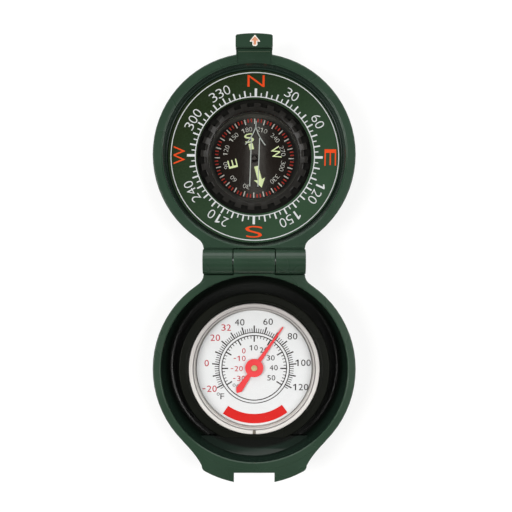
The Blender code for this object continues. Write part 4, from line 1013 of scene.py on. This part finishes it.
def print_scale_numerals(height):
    """The numbers of both scales, with the letters and degree signs of their units."""
    black = FlatPrint(THERMOMETER_Y, height)
    red = FlatPrint(THERMOMETER_Y, height)
    rows = (
        (SCALE_F_NUMERALS, SCALE_RED_F, SCALE_F_HEIGHT, SCALE_F_ADVANCE),
        (SCALE_C_NUMERALS, SCALE_RED_C, SCALE_C_HEIGHT, SCALE_C_ADVANCE),
    )
    for numerals, red_ones, size, advance in rows:
        for text, (x, y) in numerals.items():
            ink = red if text in red_ones else black
            width = size * SCALE_NUMERAL_ASPECT
            ink.level_text(text, x, y, size, width, advance, SCALE_NUMERAL_WEIGHT)
    for text, x, y, size in SCALE_UNITS:
        black.character(text, x, y, size, size * SCALE_UNIT_ASPECT, SCALE_NUMERAL_WEIGHT)
    black.piece("scale_numerals", "print_black", "cup")
    red.piece("scale_red_numerals", "print_red", "cup")

    degree = FlatPrint(THERMOMETER_Y, height)
    radius = SCALE_DEGREE_RADIUS
    turns = [2 * pi * i / SCALE_DEGREE_STEPS for i in range(SCALE_DEGREE_STEPS + 1)]
    for x, y in SCALE_DEGREE_PLACES:
        points = [(x + radius * cos(turn), y + radius * sin(turn)) for turn in turns]
        degree.stroke(points, SCALE_DEGREE_LINE)
    degree.piece("scale_degree_signs", "print_black", "cup")


def print_scale_banner(height):
    banner = FlatPrint(THERMOMETER_Y, height)
    start, end = SCALE_BANNER_ENDS_DEG
    banner.sector(*SCALE_BANNER_RADII, 180 - end, 180 - start)
    banner.piece("scale_banner", "print_banner", "cup")


def print_latch_arrow():
    """The index arrow on the latch: a white arrow with a smaller orange one in it."""
    for name, material, slot, shrink, layer in (
        ("latch_arrow_edge", "print_emblem", "print_white", 0.0, 0),
        ("latch_arrow_fill", "emblem_orange", "print_orange", LATCH_ARROW_EDGE, 1),
    ):
        ink = FlatPrint(0.0, LATCH_TOP + layer * PRINT_LAYER, centre_x=LATCH_ARROW["x"])
        tip = LATCH_ARROW["tip"] - LATCH_ARROW_POINT_SHRINK * shrink
        barb_y = LATCH_ARROW["barb"] + LATCH_ARROW_BARB_SHRINK * shrink
        barb_x = LATCH_ARROW["barb_half"] - LATCH_ARROW_POINT_SHRINK * shrink
        stem_x = LATCH_ARROW["stem_half"] - shrink
        end = LATCH_ARROW["end"] + shrink
        corner = min(LATCH_ARROW_CORNER, stem_x * LATCH_ARROW_CORNER_SHARE)
        cut = corner * LATCH_ARROW_CORNER_CUT
        half = [
            (stem_x - corner, end),
            (stem_x - cut, end + cut),
            (stem_x, end + corner),
            (stem_x, barb_y),
            (barb_x - LATCH_ARROW_BARB_CUT, barb_y - LATCH_ARROW_BARB_CUT),
            (barb_x, barb_y + LATCH_ARROW_BLUNT),
            (LATCH_ARROW_BLUNT, tip),
        ]
        ink.outline(half + [(-x, y) for x, y in reversed(half)])
        ink.piece(name, material, "lid")


def tooth_angles():
    """Angles round the ring, in degrees, each with whether a tooth stands there."""
    pitch = 360.0 / KNURL_COUNT
    half = pitch / 2
    angles = []
    for i in range(KNURL_COUNT):
        start = KNURL_TURN_DEG + i * pitch - half / 2
        tooth_start = start + half + TOOTH_SIDE_DEG
        tooth_width = half - 2 * TOOTH_SIDE_DEG
        for first, width, is_tooth in ((start, half, False), (tooth_start, tooth_width, True)):
            angles += [(first + width * step / TOOTH_PARTS, is_tooth) for step in range(TOOTH_PARTS + 1)]
    return angles


def make_bezel_ring():
    """The turning ring: a shallow cone up from the window, and square teeth round its edge."""
    top = top_of("bezel_ring")
    bottom = bottom_of("bezel_ring")
    flange = radius_of("bezel_ring")
    inside = [(RING_BORE, bottom), (RING_BORE, WINDOW_BOTTOM_Z), (RING_WINDOW, WINDOW_BOTTOM_Z)]
    inside += [(radius, top - depth) for radius, depth in CONE_PROFILE]
    tooth = [(radius, top - depth) for radius, depth in TOOTH_PROFILE]
    tooth += [(TOOTH_END, GAP_FLOOR_Z)]
    slot = [(radius, top - depth) for radius, depth in SLOT_PROFILE]
    slot += [(TOOTH_ROOT, GAP_FLOOR_Z), (TOOTH_END, GAP_FLOOR_Z), (TOOTH_END + GAP_SIDE, GAP_FLOOR_Z)]
    outside = [
        (FLANGE_START - GAP_SIDE, GAP_FLOOR_Z),
        (FLANGE_START, FLANGE_TOP_Z),
        (flange, FLANGE_TOP_Z),
        (flange, FLANGE_TOP_Z - FLANGE_THICKNESS),
        (RING_SKIRT, FLANGE_TOP_Z - FLANGE_THICKNESS),
        (RING_SKIRT, bottom),
    ]
    shape = bmesh.new()
    rows = []
    for angle_deg, is_tooth in tooth_angles():
        profile = inside + (tooth if is_tooth else slot) + outside
        rows.append(turned_row(shape, profile, radians(angle_deg), COMPASS_Y))
    skin(shape, rows)
    bmesh.ops.recalc_face_normals(shape, faces=shape.faces)
    ring = finished(new_mesh_object("knurled_ring", shape, "ring_black"), "capsule")
    shade(ring)
    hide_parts("bezel_ring")


def make_snap_ring():
    """The thermometer's snap ring: a band that dips inward, open at its index slot."""
    inner_round = BEZEL_INNER_ROUND
    outer_round = BEZEL_OUTER_ROUND
    profile = [(BEZEL_BAND, BEZEL_REST), (BEZEL_BAND, BEZEL_TOP - BEZEL_BAND_DROP)]
    inner_place = (BEZEL_BAND + inner_round, BEZEL_TOP - BEZEL_INNER_DROP)
    outer_place = (BEZEL_OUTER - outer_round, BEZEL_TOP - outer_round)
    profile += arc(*inner_place, inner_round, *BEZEL_INNER_ARC)
    profile += arc(*outer_place, outer_round, *BEZEL_OUTER_ARC)
    profile += [(BEZEL_OUTER, BEZEL_BOTTOM), (BEZEL_BORE, BEZEL_BOTTOM), (BEZEL_BORE, BEZEL_REST)]
    shape = bmesh.new()
    rows = []
    for i in range(BEZEL_STEPS + 1):
        row = []
        for radius, height in profile:
            edge = asin(BEZEL_SLOT / 2 / radius)
            angle = -pi / 2 + edge + (2 * pi - 2 * edge) * i / BEZEL_STEPS
            row.append(shape.verts.new((radius * cos(angle), THERMOMETER_Y + radius * sin(angle), height)))
        rows.append(row)
    skin(shape, rows, whole=False)
    shape.faces.new(rows[0])
    shape.faces.new(list(reversed(rows[-1])))
    bmesh.ops.recalc_face_normals(shape, faces=shape.faces)
    band = finished(new_mesh_object("snap_ring", shape, "case_white"), "cup")
    shade(band)
    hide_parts("thermometer_bezel")


def make_snap_ring_parts():
    """The low lip inside the snap ring, a thin grey ring between them that paints the shade in their groove, and
    the key in the index slot.
    """
    rest = BEZEL_REST
    lip_top = rest + LIP_THICKNESS
    lip_end = BEZEL_WINDOW + LIP_WIDTH
    lip = [
        (BEZEL_WINDOW, rest),
        (BEZEL_WINDOW, lip_top - LIP_INNER_ROUND),
        (BEZEL_WINDOW + LIP_INNER_ROUND, lip_top),
        (lip_end - LIP_OUTER_ROUND, lip_top),
        (lip_end, lip_top - LIP_OUTER_ROUND),
        (lip_end, rest),
    ]
    finished(turned("snap_ring_lip", lip, "case_white", THERMOMETER_Y), "cup")
    # Painted shade: a grey ring darkens the groove between the lip and the band
    groove_shade_end = BEZEL_BAND - PRINT_GAP
    groove_shade_top = rest + GROOVE_SHADE_THICKNESS
    groove_shade = [(lip_end, rest), (lip_end, groove_shade_top), (groove_shade_end, groove_shade_top), (groove_shade_end, rest)]
    finished(turned("groove_shade_ring", groove_shade, "groove_shade_grey", THERMOMETER_Y), "cup")

    key_top = BEZEL_TOP - KEY_DROP
    size = (KEY_WIDTH, BEZEL_OUTER - BEZEL_BAND - KEY_MARGIN, key_top - BEZEL_BOTTOM)
    middle = (0.0, THERMOMETER_Y - (BEZEL_OUTER + BEZEL_BAND) / 2, (key_top + BEZEL_BOTTOM) / 2)
    finished(rounded_box("slot_key", size, middle, KEY_ROUND, "key_brown"), "cup")


def make_latch_ridge():
    """The low ridge across the latch's arm, just inside its head, in a paler green that is a painted highlight."""
    ridge = rounded_box("latch_ridge", LATCH_RIDGE_SIZE, LATCH_RIDGE_PLACE, LATCH_RIDGE_ROUND, "ridge_highlight_green")
    finished(ridge, "lid")


def make_floor():
    """The white floor, which glows so that it stays white in the picture."""
    shape = bmesh.new()
    below = Matrix.Translation((0.0, 0.0, -FLOOR_GAP))
    bmesh.ops.create_grid(shape, x_segments=1, y_segments=1, size=FLOOR_HALF_SIZE, matrix=below)
    nodes = Nodes("floor_white")
    first, second = FLOOR_TONES
    drift = nodes.spread(nodes.noise(FLOOR_DRIFT), 0.0, 1.0)
    nodes.surface("Base Color", nodes.blend(drift, grey(first), grey(second)))
    nodes.surface("Emission Color", WHITE)
    nodes.surface("Emission Strength", FLOOR_GLOW)
    nodes.surface("Roughness", 0.9)
    nodes.surface("Specular IOR Level", PRINT_SHEEN)
    MATERIALS["floor_white"] = nodes.material
    floor = new_mesh_object("floor", shape, "floor_white")


def area_light(name, location, target, size_x, size_y, radiance, colour):
    """A rectangular soft light of that brightness, facing the target."""
    light = bpy.data.lights.new(name, "AREA")
    light.shape = "RECTANGLE"
    light.size = size_x
    light.size_y = size_y
    light.energy = radiance * pi * size_x * size_y
    light.color = colour
    obj = bpy.data.objects.new(name, light)
    obj.location = location
    direction = Vector(target) - Vector(location)
    obj.rotation_euler = direction.to_track_quat("-Z", "Y").to_euler()
    obj.visible_camera = False
    bpy.context.scene.collection.objects.link(obj)
    return obj


def make_lights():
    scene = bpy.context.scene
    world = bpy.data.worlds.new("studio")
    world.use_nodes = True
    background = world.node_tree.nodes["Background"]
    background.inputs["Color"].default_value = WHITE
    background.inputs["Strength"].default_value = WORLD_STRENGTH
    scene.world = world
    seen_through_lens = bpy.data.collections.new("seen_through_lens")
    for node in SEEN_THROUGH_LENS:
        seen_through_lens.objects.link(NODES[node])
    for row in LIGHTS:
        light = area_light(*row)
        if light.name in CAPSULE_LIGHTS:
            light.light_linking.receiver_collection = seen_through_lens
    scene.view_settings.view_transform = "Standard"
    scene.view_settings.look = "None"


def make_camera():
    """The photograph's camera, straight above the open case."""
    camera = bpy.data.cameras.new("camera")
    camera.sensor_width = SENSOR_WIDTH
    camera.lens = SENSOR_WIDTH * CAMERA_HEIGHT / (PHOTO_SCALE * PHOTO_PIXELS)
    obj = bpy.data.objects.new("camera", camera)
    obj.location = (CAMERA_X, CAMERA_Y, RIM_Z + CAMERA_HEIGHT)
    bpy.context.scene.collection.objects.link(obj)
    bpy.context.scene.camera = obj


dress_cad_nodes()
print_compass_dial()
print_card()
print_lens_lines()
print_scale_lines(top_of("thermometer_dial"))
print_scale_numerals(top_of("thermometer_dial"))
print_scale_banner(top_of("thermometer_dial"))
print_latch_arrow()
make_bezel_ring()
make_snap_ring()
make_snap_ring_parts()
make_latch_ridge()
make_floor()
make_lights()
make_camera()
